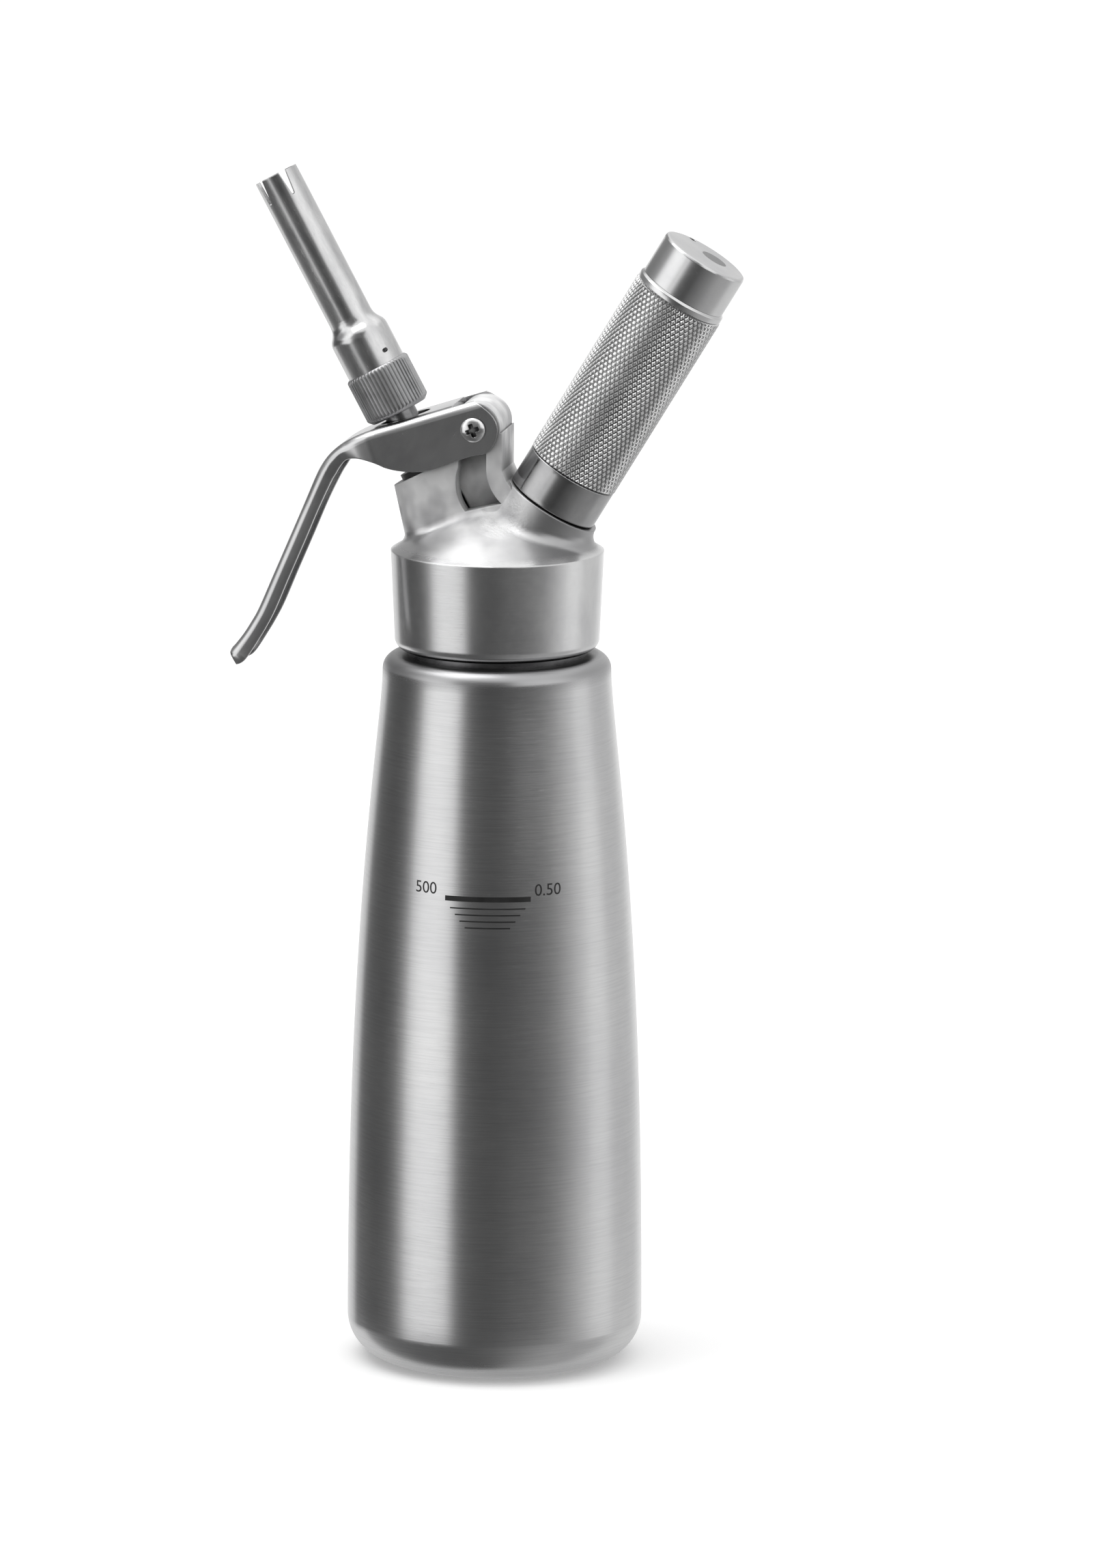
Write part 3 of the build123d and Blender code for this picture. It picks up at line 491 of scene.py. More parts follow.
# metals with nothing more on them; the tilt lays their grain along the axis each was turned or rolled on
plainMetals = {
    # foot ring: dark polish
    "darkPolishedRing": {
        "tilt": holderTilt, "grain": (4.0, 4.0, 0.12), "smear": (7.0, 7.0, 9.0), "marks": (0.5, 0.5, 0.9),
        "hexes": ("#9a9a9b", "#ababab"), "rough": (0.09, 0.15), "roughGrain": 0.03,
        "scratchRough": 0.12, "scratchDepth": 0.7, "grainDepth": 0.0012},
    # welded mouth: dull and dark, the dark partly tarnish and partly painted shade of the recess under the
    # collar
    "tarnishedShadedNeckSteel": {
        "grain": (3.0, 3.0, 0.14), "smear": (5.0, 5.0, 3.0), "marks": (1.2, 1.2, 0.25),
        "hexes": ("#5c5c5d", "#757576"), "rough": (0.24, 0.36), "grainDepth": 0.003, "edge": 0.1},
    # nozzle tube: dull polish with cloudy streaks along the tube
    "dullNozzleSteel": {
        "tilt": valveTilt, "grain": (0.35, 0.35, 3.0), "smear": (3.0, 3.0, 9.0), "marks": (0.3, 0.3, 1.6),
        "hexes": ("#bcbcbd", "#d6d6d6"), "rough": (0.15, 0.23), "roughGrain": 0.05,
        "grainDepth": 0.002, "edge": 0.12},
    # holder barrel, bead-blasted and brushed: no clear reflections, soft highlights
    "satinHolderSteel": {
        "tilt": holderTilt, "grain": (1.2, 1.2, 0.12), "smear": (8.0, 8.0, 9.0),
        "hexes": ("#a6a6a7", "#b8b8b8"), "rough": (0.28, 0.36), "roughGrain": 0.05,
        "grainDepth": 0.003, "edge": 0.15},
    # ribbed nut: dull and grey
    "dullNutSteel": {
        "tilt": valveTilt, "grain": (0.6, 0.6, 0.2), "smear": (4.0, 4.0, 4.0),
        "hexes": ("#9a9a9b", "#b2b2b3"), "rough": (0.30, 0.40), "roughGrain": 0.05,
        "grainDepth": 0.005, "edge": 0.12},
    # valve stem: dark colour as painted shade under the nut, with wear rings
    "shadedStemSteel": {
        "tilt": valveTilt, "grain": (2.0, 2.0, 0.12), "smear": (3.0, 3.0, 2.0),
        "hexes": ("#6a6a6b", "#8c8c8d"), "rough": (0.16, 0.26), "grainDepth": 0.002, "edge": 0.12},
    # cap inlay: darker, finely etched
    "etchedInlaySteel": {
        "tilt": holderTilt, "grain": (0.3, 0.3, 0.3), "smear": (3.0, 3.0, 3.0),
        "hexes": ("#7c7c7d", "#8e8e8f"), "rough": (0.34, 0.44), "roughGrain": 0.05,
        "scratchDepth": 0.4, "grainDepth": 0.004, "edge": 0.1},
    # lever: pressed sheet, tumbled and polished along its length, with handling marks
    "pressedLeverSteel": {
        "tilt": 60.0, "grain": (5.0, 0.14, 0.14), "smear": (14.0, 14.0, 9.0), "marks": (2.6, 0.25, 0.25),
        "hexes": ("#bdbdbe", "#cbcbcb"), "rough": (0.15, 0.21), "roughGrain": 0.03,
        "scratchDepth": 0.35, "grainDepth": 0.0012, "edge": 0.25, "scratchSpan": (0.71, 0.79)},
    # turned brass with tarnish in patches
    "turnedBrass": {
        "tilt": holderTilt, "grain": (3.0, 3.0, 0.12), "smear": (3.0, 3.0, 3.0), "marks": (0.8, 0.8, 0.2),
        "hexes": ("#a98a4e", "#d2b877"), "rough": (0.20, 0.34),
        "scratchRough": 0.1, "grainDepth": 0.002},
    # drawn wire with lines along it and a dull film
    "springWire": {
        "tilt": valveTilt, "grain": (0.5, 0.5, 0.08), "smear": (2.0, 2.0, 2.0), "marks": (0.6, 0.6, 0.15),
        "hexes": ("#8f8f90", "#b5b5b6"), "rough": (0.24, 0.34), "roughGrain": 0.05,
        "scratchRough": 0.1, "scratchDepth": 0.4, "grainDepth": 0.002},
    # charger, zinc plated: pale grey with cloudy patches
    "zincPlatedSteel": {
        "tilt": holderTilt, "grain": (1.5, 1.5, 0.5), "smear": (5.0, 5.0, 5.0), "marks": (1.0, 1.0, 0.4),
        "hexes": ("#9d9fa1", "#bfc0c1"), "rough": (0.28, 0.42),
        "scratchRough": 0.1, "grainDepth": 0.003},
}


def plainMetal(name):
    # one metal of the list
    return wornMetal(name, plainMetals[name])[0]


castFinish = {
    "grain": (7.0, 7.0, 0.16), "smear": (10.0, 10.0, 14.0), "marks": (1.8, 1.8, 0.25),
    "hexes": ("#c8c8c9", "#d6d6d6"), "rough": (0.15, 0.21), "roughGrain": 0.045,
    "scratchRough": 0.05, "scratchDepth": 0.25, "grainDepth": 0.0016, "edge": 0.6,
    # pebbled patch between the two bosses: its middle and how it fades, in metres, grain and depth in mm
    "patchSpot": (0.0035, -0.0105, 0.2265), "patchSpan": (0.0035, 0.0085), "patchRough": 0.1,
    "pebble": (0.8, 0.8, 0.8), "pebbleDetail": 3.0, "pebbleRough": 0.6, "pebbleDepth": 0.22,
    # blasted above the cone, less to the right of it
    "blastSpan": (0.2205, 0.2255), "rightSpan": (0.004, 0.009), "rightShare": 0.25, "blastRough": 0.38,
    "blast": (0.35, 0.35, 0.35), "blastDepth": 0.012,
    "cloud": (8.0, 8.0, 11.0), "cloudRough": 0.5, "cloudSpan": (0.38, 0.60),
    "cloudHexes": ("#cdcdce", "#f2f2f2"),
    # cone: duller, and darker towards the holder as painted shade
    "coneSpan": (0.2163, 0.2175), "coneRough": 0.13,
    "holderShadeSpan": (0.004, 0.018), "holderShadeShare": 0.75, "holderShadeHex": "#8f8f90",
    # painted shade in the hollows behind the lever
    "paintedShade": (7, 0.25, 0.7, 0.8), "paintedShadeHex": "#4a4a4a",
}


def castMetal(look):
    # head casting: brushed collar and cone, blasted bosses, pebbled where the tool could not reach; painted
    # shade in the hollows and on the cone towards the holder
    material, tree, shader = wornMetal("satinCastAluminium", look)
    place = addNode(tree, "place")
    parts = addNode(tree, "parts", place).outputs
    away = addNode(tree, "distance", place, look["patchSpot"])
    patch = addNode(tree, "remap", away, *look["patchSpan"], 1.0, 0.0)
    blasted = addNode(tree, "multiply", addNode(tree, "remap", parts["Z"], *look["blastSpan"], 0.0, 1.0),
                      addNode(tree, "remap", parts["X"], *look["rightSpan"], 1.0, look["rightShare"]))
    cone = addNode(tree, "remap", parts["Z"], *look["coneSpan"], 0.0, 1.0)
    coarse = surfacePoint(tree, look["pebble"])
    pebble = addNode(tree, "noise", coarse, look["pebbleDetail"], look["pebbleRough"])
    pebble = addNode(tree, "multiply", addNode(tree, "multiply", pebble, patch), look["pebbleDepth"])
    blast = addNode(tree, "multiply", addNode(tree, "noise", surfacePoint(tree, look["blast"])), blasted)
    relief = addNode(tree, "add", pebble, addNode(tree, "multiply", blast, look["blastDepth"]))
    relief = addNode(tree, "bump", relief, mm, feeding(shader, "Normal"))
    tree.links.new(relief, shader.inputs["Normal"])
    dull(tree, shader, blasted, look["blastRough"])
    dull(tree, shader, cone, look["coneRough"])
    dull(tree, shader, patch, look["patchRough"])
    cloud = addNode(tree, "noise", surfacePoint(tree, look["cloud"]), None, look["cloudRough"])
    cloud = addNode(tree, "remap", cloud, *look["cloudSpan"], 0.0, 1.0)
    stainAndShade(tree, shader, blasted, addNode(tree, "blend", cloud, *look["cloudHexes"]))
    # painted shade on the cone towards the holder
    holderShade = addNode(tree, "remap", parts["X"], *look["holderShadeSpan"], 0.0, look["holderShadeShare"])
    stainAndShade(tree, shader, addNode(tree, "multiply", cone, holderShade), look["holderShadeHex"])
    # painted shade in the hollows
    stainAndShade(tree, shader, hollowShade(tree, *look["paintedShade"]), look["paintedShadeHex"])
    return material


knurlFinish = {
    "tilt": holderTilt, "grain": (1.0, 1.0, 0.2), "smear": (12.0, 12.0, 12.0), "marks": (0.8, 0.8, 0.3),
    "hexes": ("#d2d2d2", "#e2e2e2"), "rough": (0.13, 0.18), "roughGrain": 0.03,
    "scratchRough": 0.1, "scratchDepth": 0.4, "grainDepth": 0.001,
    # darker by the depth of the groove, as a share of the whole depth
    "grooveDarkSpan": (0.55, 1.0), "grooveDarkShare": 0.55, "grooveDarkHex": "#3c3c3c",
}


def knurledMetal(look):
    # grip: bright flats between grooves coloured darker by their depth
    material, tree, shader = wornMetal("knurledAluminium", look)
    # grooves coloured darker by their depth
    grooveDark = addNode(tree, "remap", addNode(tree, "grooveDepth"), *look["grooveDarkSpan"], 0.0, look["grooveDarkShare"])
    stainAndShade(tree, shader, grooveDark, look["grooveDarkHex"])
    return material


capFinish = {
    "tilt": holderTilt, "grain": (5.0, 5.0, 0.12), "smear": (10.0, 10.0, 10.0), "marks": (1.2, 1.2, 0.25),
    "hexes": ("#c6c6c7", "#d2d2d2"), "rough": (0.12, 0.18), "roughGrain": 0.03,
    "scratchRough": 0.1, "grainDepth": 0.0015, "edge": 0.4,
    # height of the top along the holder and the fade below it, in mm, and how much rougher the top is
    "top": 76.9, "fade": (0.25, 0.1), "satinRough": 0.30,
}


def capMetal(look):
    # polished side, satin turned top with a fine grain
    material, tree, shader = wornMetal("capAluminium", look)
    axis = holderFrame[:3, 2]
    along = addNode(tree, "dot", addNode(tree, "place"), tuple(axis))
    top = float(axis @ holderFrame[:3, 3]) + look["top"] * mm
    start, end = (top - below * mm for below in look["fade"])
    dull(tree, shader, addNode(tree, "remap", along, start, end, 0.0, 1.0), look["satinRough"])
    return material


# moulded and printed things: hex pair, roughness, grain and its depth in mm
moulded = {
    # gland: near black with a dull moulded grain
    "blackNylon": {"hexes": ("#131313", "#202020"), "rough": 0.45, "grain": 0.25, "depth": 0.006},
    # gasket and washers: milky, soft
    "paleSilicone": {"hexes": ("#b9b9b5", "#cfcfcb"), "rough": 0.55, "grain": 0.4, "depth": 0.01,
                     "milk": 0.3},
    # o-ring, seals and pad: matt black
    "blackRubber": {"hexes": ("#1a1a1a", "#2a2a2a"), "rough": 0.62, "grain": 0.3, "depth": 0.01},
    # printed black, slightly uneven and rubbed
    "blackScreenInk": {"hexes": ("#0e0e0e", "#1c1c1c"), "rough": 0.5, "grain": 0.12, "depth": 0.002},
}
# size of their matt patches in mm, and how far patches and grain change the roughness
mouldedPatch = {
    "size": (4.0, 4.0, 4.0), "span": (0.3, 0.7), "patchRough": 0.06, "grainRough": 0.04,
    "fineNoise": (4.0, 0.6), "wideDetail": 3.0,
}


def plastic(name):
    # faint grain, matt patches
    look = moulded[name]
    material, tree, shader = newMaterial(name)
    span, more, faint = (mouldedPatch[key] for key in ("span", "patchRough", "grainRough"))
    fine = addNode(tree, "noise", surfacePoint(tree, (look["grain"],) * 3), *mouldedPatch["fineNoise"])
    wide = addNode(tree, "noise", surfacePoint(tree, mouldedPatch["size"]), mouldedPatch["wideDetail"])
    tint = addNode(tree, "blend", addNode(tree, "remap", wide, *span, 0.0, 1.0), *look["hexes"])
    level = addNode(tree, "remap", wide, *span, look["rough"] - more, look["rough"] + more)
    level = addNode(tree, "add", level, addNode(tree, "remap", fine, *span, -faint, faint))
    tree.links.new(tint, shader.inputs["Base Color"])
    tree.links.new(level, shader.inputs["Roughness"])
    tree.links.new(addNode(tree, "bump", fine, look["depth"] * mm), shader.inputs["Normal"])
    if "milk" in look:
        shader.inputs["Subsurface Weight"].default_value = look["milk"]
        shader.inputs["Subsurface Radius"].default_value = (mm, mm, mm)
    return material


# the bottle: pull points of its side (radius, height) and its roundings, in mm
bottle = {
    "side": ((39.0, 11.2), (39.0, 122.7), (30.0, 170.2), (30.0, 184.5)),
    "base": 11.2, "shoulder": 4.0, "hole": 23.63, "wall": 1.0,
    "taper": (11, 185),  # heights between which the wall radius is read
    "segments": 240, "footSteps": 8, "baseSteps": 14, "sideSteps": 60, "shoulderSteps": 10,
}


def arcLine(centre, radius, start, end, steps):
    # points on an arc, angles in degrees
    turn = np.radians(np.linspace(start, end, steps + 1))
    return np.array(centre) + radius * np.stack([np.cos(turn), np.sin(turn)], axis=1)


def bottleLine(look, inset):
    # base centre, base corner, taper and shoulder, each moved inwards by the inset
    (a, b), (c, d), (e, f), (g, h) = look["side"]
    base, shoulder, footSteps = look["base"], look["shoulder"], look["footSteps"]
    foot = np.stack([np.linspace(0, a - base, footSteps, endpoint=False), np.full(footSteps, inset)], axis=1)
    low = arcLine((a - base, b), base - inset, -90, 0, look["baseSteps"])
    pulls = ((a - inset, b), (c - inset, d), (e - inset, f), (g - inset, h))
    side = bezierLine(*pulls, look["sideSteps"])[1:-1]
    high = arcLine((g - shoulder, h), shoulder - inset, 0, 90, look["shoulderSteps"])
    return np.concatenate([foot, low, side, high, [[look["hole"], h + shoulder - inset]]])


def wallRadius(height):
    # outside radius in mm at a height on the taper
    line = bottleLine(bottle, 0.0)
    low, high = bottle["taper"]
    taper = line[(line[:, 1] > low) & (line[:, 1] < high)]
    return np.interp(height, taper[:, 1], taper[:, 0])


def buildBottle(look):
    # one wall: the outside line up, the inside line back down
    line = np.concatenate([bottleLine(look, 0.0), bottleLine(look, look["wall"])[::-1]])
    piece = turnedPiece("bottleWall", line, uprightFrame, look["segments"])
    dress(piece, brushedStainless(bottleFinish), "bottle", "bottle_shell", slot="bottle_steel")
    print("bottle built")


# fill mark in mm: a wide bar, four shrinking lines under it and plain numbers at both ends
mark = {
    "azimuth": 6.8, "height": 129.6, "barWide": 22.7, "barTall": 1.35,
    "lineWides": (19.9, 17.2, 14.7, 11.9), "lineTall": 0.35, "lineFirst": 2.45, "lineStep": 1.68,
    "numberTall": 3.2, "numberRise": 0.8, "numbers": (("500", -17.0), ("0.50", 16.1)),
    "thick": 0.03, "sunk": 0.01, "steps": 40, "letterSteps": 6,
    "tallShare": 0.73,  # height of a figure by the size of the built-in letters
}


def wrapOnWall(across, up, lift):
    # flat point (across, up) in mm laid on the bottle wall, lifted off it: x = r sin(a), y = -r cos(a)
    radius = wallRadius(up) + lift
    turn = math.radians(mark["azimuth"]) + across / wallRadius(up)
    return np.stack([radius * np.sin(turn), -radius * np.cos(turn), up + 0 * turn], axis=-1) * mm


def wallStrip(name, wide, tall, height):
    # closed plate: a rectangle of four corners swept across the wall
    across = np.linspace(-wide / 2, wide / 2, mark["steps"])[:, None]
    up = height + np.array([-0.5, -0.5, 0.5, 0.5]) * tall
    lift = np.array([-mark["sunk"], 1.0, 1.0, -mark["sunk"]]) * mark["thick"]
    ring = wrapOnWall(across + 0 * up, up + 0 * across, lift)
    first, last = (end.mean(axis=1, keepdims=True).repeat(4, axis=1) for end in (ring[:1], ring[-1:]))
    return gridPiece(name, np.concatenate([first, ring, last]), wrapV=True)


def wallNumber(name, text, across, height):
    # built-in letter shapes turned into a thin plate and wrapped on the wall
    curve = bpy.data.curves.new(name, "FONT")
    curve.body = text
    curve.align_x = "CENTER"
    curve.size = mark["numberTall"] / mark["tallShare"]
    curve.extrude = mark["thick"] / 2
    curve.resolution_u = mark["letterSteps"]
    holder = bpy.data.objects.new(name + "Text", curve)
    bpy.context.scene.collection.objects.link(holder)
    mesh = bpy.data.meshes.new_from_object(holder.evaluated_get(bpy.context.evaluated_depsgraph_get()))
    bpy.data.objects.remove(holder)
    flat = np.zeros(len(mesh.vertices) * 3)
    mesh.vertices.foreach_get("co", flat)
    flat = flat.reshape(-1, 3)
    wrapped = wrapOnWall(flat[:, 0] + across, flat[:, 1] + height, flat[:, 2] + mark["thick"] / 2)
    mesh.vertices.foreach_set("co", wrapped.reshape(-1))
    return finishMesh(name, mesh)


def buildMark(look):
    ink = plastic("blackScreenInk")
    pieces = [wallStrip("fillBar", look["barWide"], look["barTall"], look["height"])]
    for index, wide in enumerate(look["lineWides"]):
        height = look["height"] - look["lineFirst"] - index * look["lineStep"]
        pieces.append(wallStrip("fillLine_%d" % index, wide, look["lineTall"], height))
    for index, (text, across) in enumerate(look["numbers"]):
        pieces.append(wallNumber("fillNumber_%d" % index, text, across, look["height"] + look["numberRise"]))
    for piece in pieces:
        dress(piece, ink, "bottle")
    print("fill mark built")


def copiedMesh(node, name):
    # CAD solid as one joined mesh
    mesh = bpy.data.objects[node].data.copy()
    mesh.name = name
    if mesh.has_custom_normals:
        mesh.normals_split_custom_set([(0, 0, 0)] * len(mesh.loops))
    return finishMesh(name, mesh)


# lever arm in mm; its sections, from the end of the flat web on, give (x, z) of the back and of the free edge
# from the pivot, and half the width
leverArm = {
    "sheet": 1.5, "fold": 2.4, "edge": 0.35, "cutAlong": 25.9, "tilt": 18.0, "between": 8,
    "flatWithin": 0.5, "sharp": 38, "weight": 80,
    "sections": (
        (-27.93, -1.40, -25.06, -10.24, 10.3), (-29.6, -2.05, -26.9, -9.6, 10.3),
        (-32.6, -3.45, -30.2, -8.8, 10.1), (-35.2, -5.0, -32.6, -8.85, 9.6),
        (-37.6, -6.9, -34.3, -9.5, 9.0), (-39.6, -9.0, -35.7, -11.1, 8.5),
        (-41.4, -11.6, -36.9, -13.0, 8.0), (-43.1, -14.95, -38.3, -15.4, 7.6),
        (-46.3, -22.4, -41.6, -22.3, 7.0), (-50.3, -31.7, -45.5, -31.5, 7.0),
        (-54.4, -41.2, -49.6, -41.0, 7.0), (-58.2, -50.0, -53.4, -50.0, 7.0),
        (-60.4, -54.0, -55.8, -54.7, 7.0), (-62.3, -57.0, -58.0, -58.4, 7.0),
        (-64.3, -59.6, -60.4, -62.2, 7.0), (-65.2, -60.6, -61.8, -64.0, 6.9),
        (-65.65, -61.3, -63.0, -64.8, 6.7), (-65.85, -61.8, -63.9, -65.1, 6.4),
    ),
}


def smoothRows(rows, between):
    # Catmull-Rom curve through the rows
    rows = np.array(rows, float)
    padded = np.concatenate([2 * rows[:1] - rows[1:2], rows, 2 * rows[-1:] - rows[-2:-1]])
    t = np.arange(between)[:, None] / between
    out = []
    for a, b, c, d in zip(padded[:-3], padded[1:-2], padded[2:-1], padded[3:]):
        bend, twist = 2 * a - 5 * b + 4 * c - d, 3 * b - a - 3 * c + d
        out.append(0.5 * (2 * b + (c - a) * t + bend * t ** 2 + twist * t ** 3))
    return np.concatenate(out + [rows[-1:]])


def leverArmLoops(look):
    # folded channel: a U of sheet laid between the back line and the free edges at every row
    sheet, fold, edge = look["sheet"], look["fold"], look["edge"]
    loops = []
    for backX, backZ, freeX, freeZ, half in smoothRows(look["sections"], look["between"]):
        deep = math.hypot(freeX - backX, freeZ - backZ)
        inner, tight = half - sheet, fold - sheet
        line = roundedLine([
            (-half, deep, edge), (-half, 0, fold), (half, 0, fold), (half, deep, edge),
            (inner, deep, edge), (inner, sheet, tight), (-inner, sheet, tight), (-inner, deep, edge)])
        across, down = line[:, 0], line[:, 1] / deep
        x, z = backX + (freeX - backX) * down, backZ + (freeZ - backZ) * down
        loops.append(np.stack([x, across, z], axis=-1))
    return np.stack(loops) * mm + pivotPoint


def buildLever(look):
    # fork end from the solid, cut square to the web where the bend starts, then bridged to the swept arm
    fork = copiedMesh("lever", "leverFork")
    tilt = math.radians(look["tilt"])
    away = Vector((-math.cos(tilt), 0, -math.sin(tilt)))
    cut = Vector(pivotPoint) + away * look["cutAlong"] * mm
    work = bmesh.new()
    work.from_mesh(fork.data)
    parts = work.verts[:] + work.edges[:] + work.faces[:]
    bmesh.ops.bisect_plane(work, geom=parts, dist=mergeWithin, plane_co=cut, plane_no=away, clear_outer=True)
    flat = math.radians(look["flatWithin"])
    bmesh.ops.dissolve_limit(work, angle_limit=flat, verts=work.verts[:], edges=work.edges[:])
    seam = [edge for edge in work.edges if edge.is_boundary]
    loops = leverArmLoops(look)
    rows = [[work.verts.new(point) for point in loop] for loop in loops]
    last = work.verts.new(loops[-1].mean(axis=0))
    count = loops.shape[1]
    for index in range(count):
        near = (index + 1) % count
        for here, there in zip(rows[:-1], rows[1:]):
            work.faces.new((here[index], there[index], there[near], here[near]))
        work.faces.new((rows[-1][index], last, rows[-1][near]))
    start = [work.edges.get((rows[0][index], rows[0][(index + 1) % count])) for index in range(count)]
    bmesh.ops.bridge_loops(work, edges=seam + start)
    bmesh.ops.recalc_face_normals(work, faces=work.faces[:])
    work.to_mesh(fork.data)
    work.free()
    fork.data.shade_smooth()
    fork.data.set_sharp_from_angle(angle=math.radians(look["sharp"]))
    shade = fork.modifiers.new("roundFolds", "WEIGHTED_NORMAL")
    shade.keep_sharp = True
    shade.weight = look["weight"]
    dress(fork, plainMetal("pressedLeverSteel"), "lever", "lever", slot="lever_steel")
    print("lever built", len(fork.data.polygons))


# ribbed nut in mm, heights along the valve axis
nut = {
    "radius": 8.75, "ribs": 50, "perRib": 12, "ribDepth": 0.34, "ribFlat": 0.35, "ribFlank": 0.5,
    "low": 16.4, "lowFace": 7.55, "lowBevel": 1.35, "blank": 8.9,
    "top": 29.6, "topFace": 8.1, "topBevel": 0.75, "ribFrom": 7.0,
    "bore": 4.37, "duct": 3.2, "seat": 30.4, "spigot": 6.4, "spigotTop": 36.0,
    "rounding": (0.3, 0.25, 0.2), "step": 0.6, "sharp": 40,
}


def ribDrop(angle, look):
    # flat rib, round groove: depth times a smooth step of the distance from the rib's middle
    share = np.abs((angle * look["ribs"] / (2 * math.pi)) % 1.0 - 0.5) * 2
    t = np.clip((share - look["ribFlat"]) / look["ribFlank"], 0, 1)
    return look["ribDepth"] * (1 - t * t * (3 - 2 * t))


def buildNut(look):
    # radius = smaller of the turned line and the ribbed cylinder
    low, top, seat, spigotTop = (look[key] for key in ("low", "top", "seat", "spigotTop"))
    foot, head, spigot = look["rounding"]
    line = denseLine(roundedLine([
        (look["bore"], low, foot), (look["lowFace"], low, foot), (look["blank"], low + look["lowBevel"], 0.0),
        (look["blank"], top - look["topBevel"], 0.0), (look["topFace"], top, head),
        (look["spigot"], top, 0.0), (look["spigot"], spigotTop, spigot), (look["duct"], spigotTop, spigot),
        (look["duct"], seat, 0.0), (look["bore"], seat, 0.0),
    ]), look["step"])
    turned, height = line[None, :, 0], line[None, :, 1]
    angle = fullTurn(look["ribs"] * look["perRib"])
    ribbed = look["radius"] - ribDrop(angle, look)
    radius = np.minimum(turned, np.where(turned > look["ribFrom"], ribbed, np.inf))
    points = moved(ringed(radius, angle, height), valveFrame)
    piece = gridPiece("ribbedNut", points, wrapU=True, wrapV=True, sharpAngle=look["sharp"])
    dress(piece, plainMetal("dullNutSteel"), "nozzle", "nozzle_nut", slot="nut_steel")
    print("nut built", len(piece.data.polygons))


# knurled sleeve in mm, heights along the holder; flat and second are shares of the groove
grip = {
    "radius": 12.45, "inner": 10.63, "low": 10.0, "top": 63.6, "round": 56, "pitch": 2.4, "perCell": 8,
    "depth": 0.36, "flat": 0.5, "second": 0.75, "edge": 0.5, "bevel": 0.3, "sharp": 14,
}


def knurlDepth(turn, along, look):
    # two crossing families of straight grooves, each a triangle wave cut flat on top; the second is shallower
    first, second = (1 - np.clip((1 - np.abs(wave % 1.0 * 2 - 1)) / look["flat"], 0, 1)
                     for wave in (turn - along, turn + along))
    return np.maximum(first, second * look["second"])


def buildGrip(look):
    # cells are sampled evenly so that every groove runs along a diagonal of the grid
    low, top, edge, perCell = (look[key] for key in ("low", "top", "edge", "perCell"))
    long = top - low - 2 * edge
    rows = int(long / (look["pitch"] / perCell))
    count = look["round"] * perCell
    height = low + edge + np.arange(rows + 1) * long / rows
    turn = np.arange(count)[:, None] / perCell
    share = knurlDepth(turn, np.arange(rows + 1)[None, :] / perCell, look)
    ends = np.array([(look["inner"], low), (look["radius"] - edge - look["bevel"], low)])
    lowRadius, highRadius = (np.tile(side, (count, 1)) for side in (ends[:, 0], ends[::-1, 0]))
    radius = np.concatenate([lowRadius, look["radius"] - look["depth"] * share, highRadius], axis=1)
    height = np.concatenate([ends[:, 1], height, top + low - ends[::-1, 1]])
    points = ringed(radius, turn / look["round"] * 2 * math.pi, height)
    depths = np.zeros(radius.shape)
    depths[:, 2:-2] = share
    # each quad is split along its higher diagonal, so that no groove is bridged
    a, b, c, d = gridCorners(*radius.shape, True, True)
    flat = depths.reshape(-1)
    deeper = (flat[a] + flat[c] >= flat[b] + flat[d])[:, None]
    first = np.where(deeper, np.stack([a, b, c], 1), np.stack([a, b, d], 1))
    second = np.where(deeper, np.stack([a, c, d], 1), np.stack([b, c, d], 1))
    mesh = bpy.data.meshes.new("knurledSleeve")
    faces = np.concatenate([first, second]).tolist()
    mesh.from_pydata(moved(points, holderFrame).reshape(-1, 3).tolist(), [], faces)
    attribute = mesh.attributes.new("grooveDepth", "FLOAT", "POINT")
    attribute.data.foreach_set("value", flat.astype(np.float32))
    piece = finishMesh("knurledSleeve", mesh, look["sharp"])
    dress(piece, knurledMetal(knurlFinish), "holder", "holder_grip", slot="knurled_aluminium")
    print("grip built", len(piece.data.polygons))


# rings of the holder: corners (radius, height along the holder, rounding) in mm
rings = {
    "foot": ((10.63, -0.35, 0.0), (12.35, -0.35, 0.5), (12.35, 10.0, 0.3), (10.63, 10.0, 0.0)),
    "trim": ((10.63, 63.6, 0.0), (12.3, 63.6, 0.2), (12.3, 65.0, 0.5), (11.7, 65.6, 0.1), (10.63, 65.6, 0.0)),
    "step": 1.0,
}


def buildRings(look):
    foot = turnedPiece("footRing", denseLine(roundedLine(look["foot"]), look["step"]), holderFrame)
    dress(foot, plainMetal("darkPolishedRing"), "holder", "holder_ring", slot="polished_steel")
    trim = turnedPiece("trimRing", roundedLine(look["trim"]), holderFrame)
    trimSteel = polishedSteel("polishedTrimSteel", holderTilt, edge=0.0)
    dress(trim, trimSteel, "holder", "holder_trim_ring", slot="polished_steel")
    print("rings built")


# pivot screw in mm, heights from the seat of its head
screw = {
    "radius": 3.25, "rim": 0.45, "height": 1.6, "seat": 10.45, "crossLong": 1.85, "crossWide": 0.62,
    "crossDepth": 1.25, "slope": 0.22, "turn": 20.0, "shank": 1.5, "shankLong": 17.6, "bevel": 0.4,
    "around": 192, "rings": 72, "sharp": 28,
}


def screwHeight(x, y, look):
    # dome: rim + rise * sqrt(1 - (r / R)^2), less a cross whose walls slope in
    bulge = np.sqrt(np.clip(1 - (x * x + y * y) / look["radius"] ** 2, 0, 1))
    dome = look["rim"] + (look["height"] - look["rim"]) * bulge
    arms = [np.clip((look["crossWide"] - np.abs(a)) / look["slope"], 0, 1)
            * np.clip((look["crossLong"] - np.abs(b)) / look["slope"] / 2, 0, 1) for a, b in ((x, y), (y, x))]
    return dome - look["crossDepth"] * np.maximum(*arms)


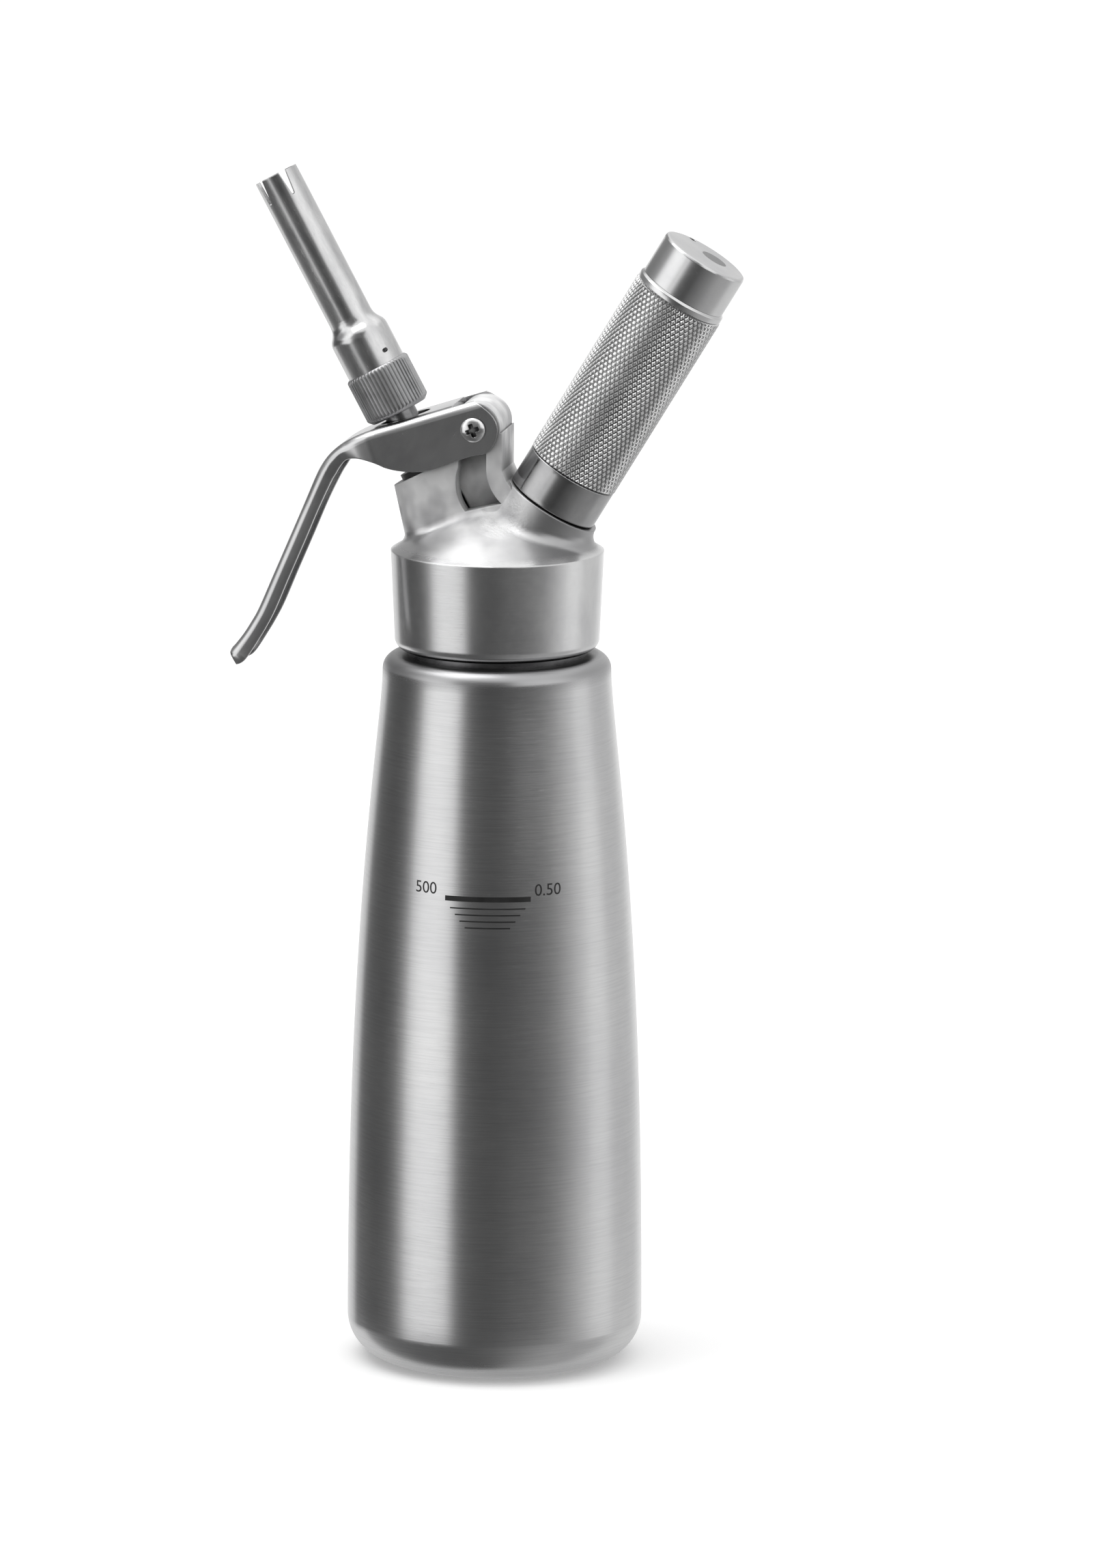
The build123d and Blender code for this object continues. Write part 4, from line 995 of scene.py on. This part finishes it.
def buildScrew(look):
    # domed head with a cross recess, then its seat and shank
    radius, shank, end, bevel = look["radius"], look["shank"], -look["shankLong"], look["bevel"]
    angle = fullTurn(look["around"])
    share = np.sin(np.linspace(0, 1, look["rings"]) * math.pi / 2)[None, :]
    x, y = radius * share * np.cos(angle), radius * share * np.sin(angle)
    top = np.stack([x, y, screwHeight(x, y, look)], axis=-1)
    low = np.array([(radius, 0.0), (shank, 0.0), (shank, bevel + end), (shank - bevel, end), (0.0, end)])
    x, y, z = low[None, :, 0] * np.cos(angle), low[None, :, 0] * np.sin(angle), low[None, :, 1] + 0 * angle
    points = np.concatenate([top, np.stack([x, y, z], axis=-1)], axis=1)
    turn = math.radians(look["turn"])
    across = points[..., 0] * math.cos(turn) - points[..., 1] * math.sin(turn)
    up = points[..., 0] * math.sin(turn) + points[..., 1] * math.cos(turn)
    placed = np.stack([across, -points[..., 2] - look["seat"], up], axis=-1) * mm + pivotPoint
    piece = gridPiece("crossScrew", placed, wrapU=True, sharpAngle=look["sharp"])
    dress(piece, screwMetal(screwFinish), "head", "pivot_screw", slot="polished_steel")
    print("screw built")


# return spring in mm, heights along the valve axis
spring = {
    "radius": 5.15, "wire": 0.55, "low": 2.1, "high": 9.415, "turns": 4.0, "closed": 0.5, "slowest": 0.12,
    "around": 16, "perTurn": 48, "anchor": 1.5,
}


def buildSpring(look):
    # helix: angle a, height low to high, pitch eased to nothing over the closed half turns at both ends
    turns = look["turns"] + 2 * look["closed"]
    t = np.linspace(0, turns, int(turns * look["perTurn"]) + 1)
    speed = np.clip(np.minimum(t, turns - t) / look["closed"], look["slowest"], 1.0)
    rise = np.concatenate([[0], np.cumsum((speed[1:] + speed[:-1]) / 2)])
    height = look["low"] + (look["high"] - look["low"]) * rise / rise[-1]
    turn = 2 * math.pi * t
    centre = np.stack([look["radius"] * np.cos(turn), look["radius"] * np.sin(turn), height], axis=-1)
    out = np.stack([np.cos(turn), np.sin(turn), 0 * turn], axis=-1)
    phi = fullTurn(look["around"])
    ring = centre[:, None] + look["wire"] * (out[:, None] * np.cos(phi) + np.array([0, 0, 1.0]) * np.sin(phi))
    first, last = (end.repeat(look["around"], axis=1) for end in (centre[:1, None], centre[-1:, None]))
    points = moved(np.concatenate([first, ring, last]) * mm, valveFrame)
    piece = gridPiece("returnSpring", points, wrapV=True, flip=True)
    dress(piece, plainMetal("springWire"), "head", "valve_spring", slot="spring_steel")
    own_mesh(piece)
    print("spring built")


def finishNodes(looks):
    # every CAD solid still shown takes its own material
    for name, material in looks.items():
        data = nodes[name].data
        data.materials.clear()
        data.materials.append(material)
    print("inner solids finished")


bpy.context.scene.view_settings.view_transform = "Standard"
placeCamera(cameraSet)
studioWorld(studio)
studioFloor(studio)
buildBottle(bottle)
buildMark(mark)
buildLever(leverArm)
buildNut(nut)
buildGrip(grip)
buildRings(rings)
buildScrew(screw)
buildSpring(spring)

valveSteel = polishedSteel("polishedValveSteel", valveTilt)
axleSteel = polishedSteel("polishedScrewSteel", 90.0)
silicone = plastic("paleSilicone")
rubber = plastic("blackRubber")
finishNodes({
    "head_body": castMetal(castFinish), "holder_end_cap": capMetal(capFinish),
    "nozzle_tip": plainMetal("dullNozzleSteel"), "neck_ring": plainMetal("tarnishedShadedNeckSteel"),
    "head_gasket": silicone, "valve_gland": plastic("blackNylon"), "stem_o_ring": rubber,
    "stem_collar": valveSteel, "valve_stem": plainMetal("shadedStemSteel"), "valve_foot": valveSteel,
    "valve_seal": rubber, "nozzle_seal": silicone, "pivot_sleeve": axleSteel, "pivot_nut": axleSteel,
    "pin_holder": plainMetal("turnedBrass"), "piercing_pin": plainMetal("springWire"),
    "charger_gasket": silicone, "gas_check_valve": rubber, "gas_charger": plainMetal("zincPlatedSteel"),
    "holder_barrel": plainMetal("satinHolderSteel"), "holder_cap_inlay": plainMetal("etchedInlaySteel"),
    "holder_pad": rubber,
})
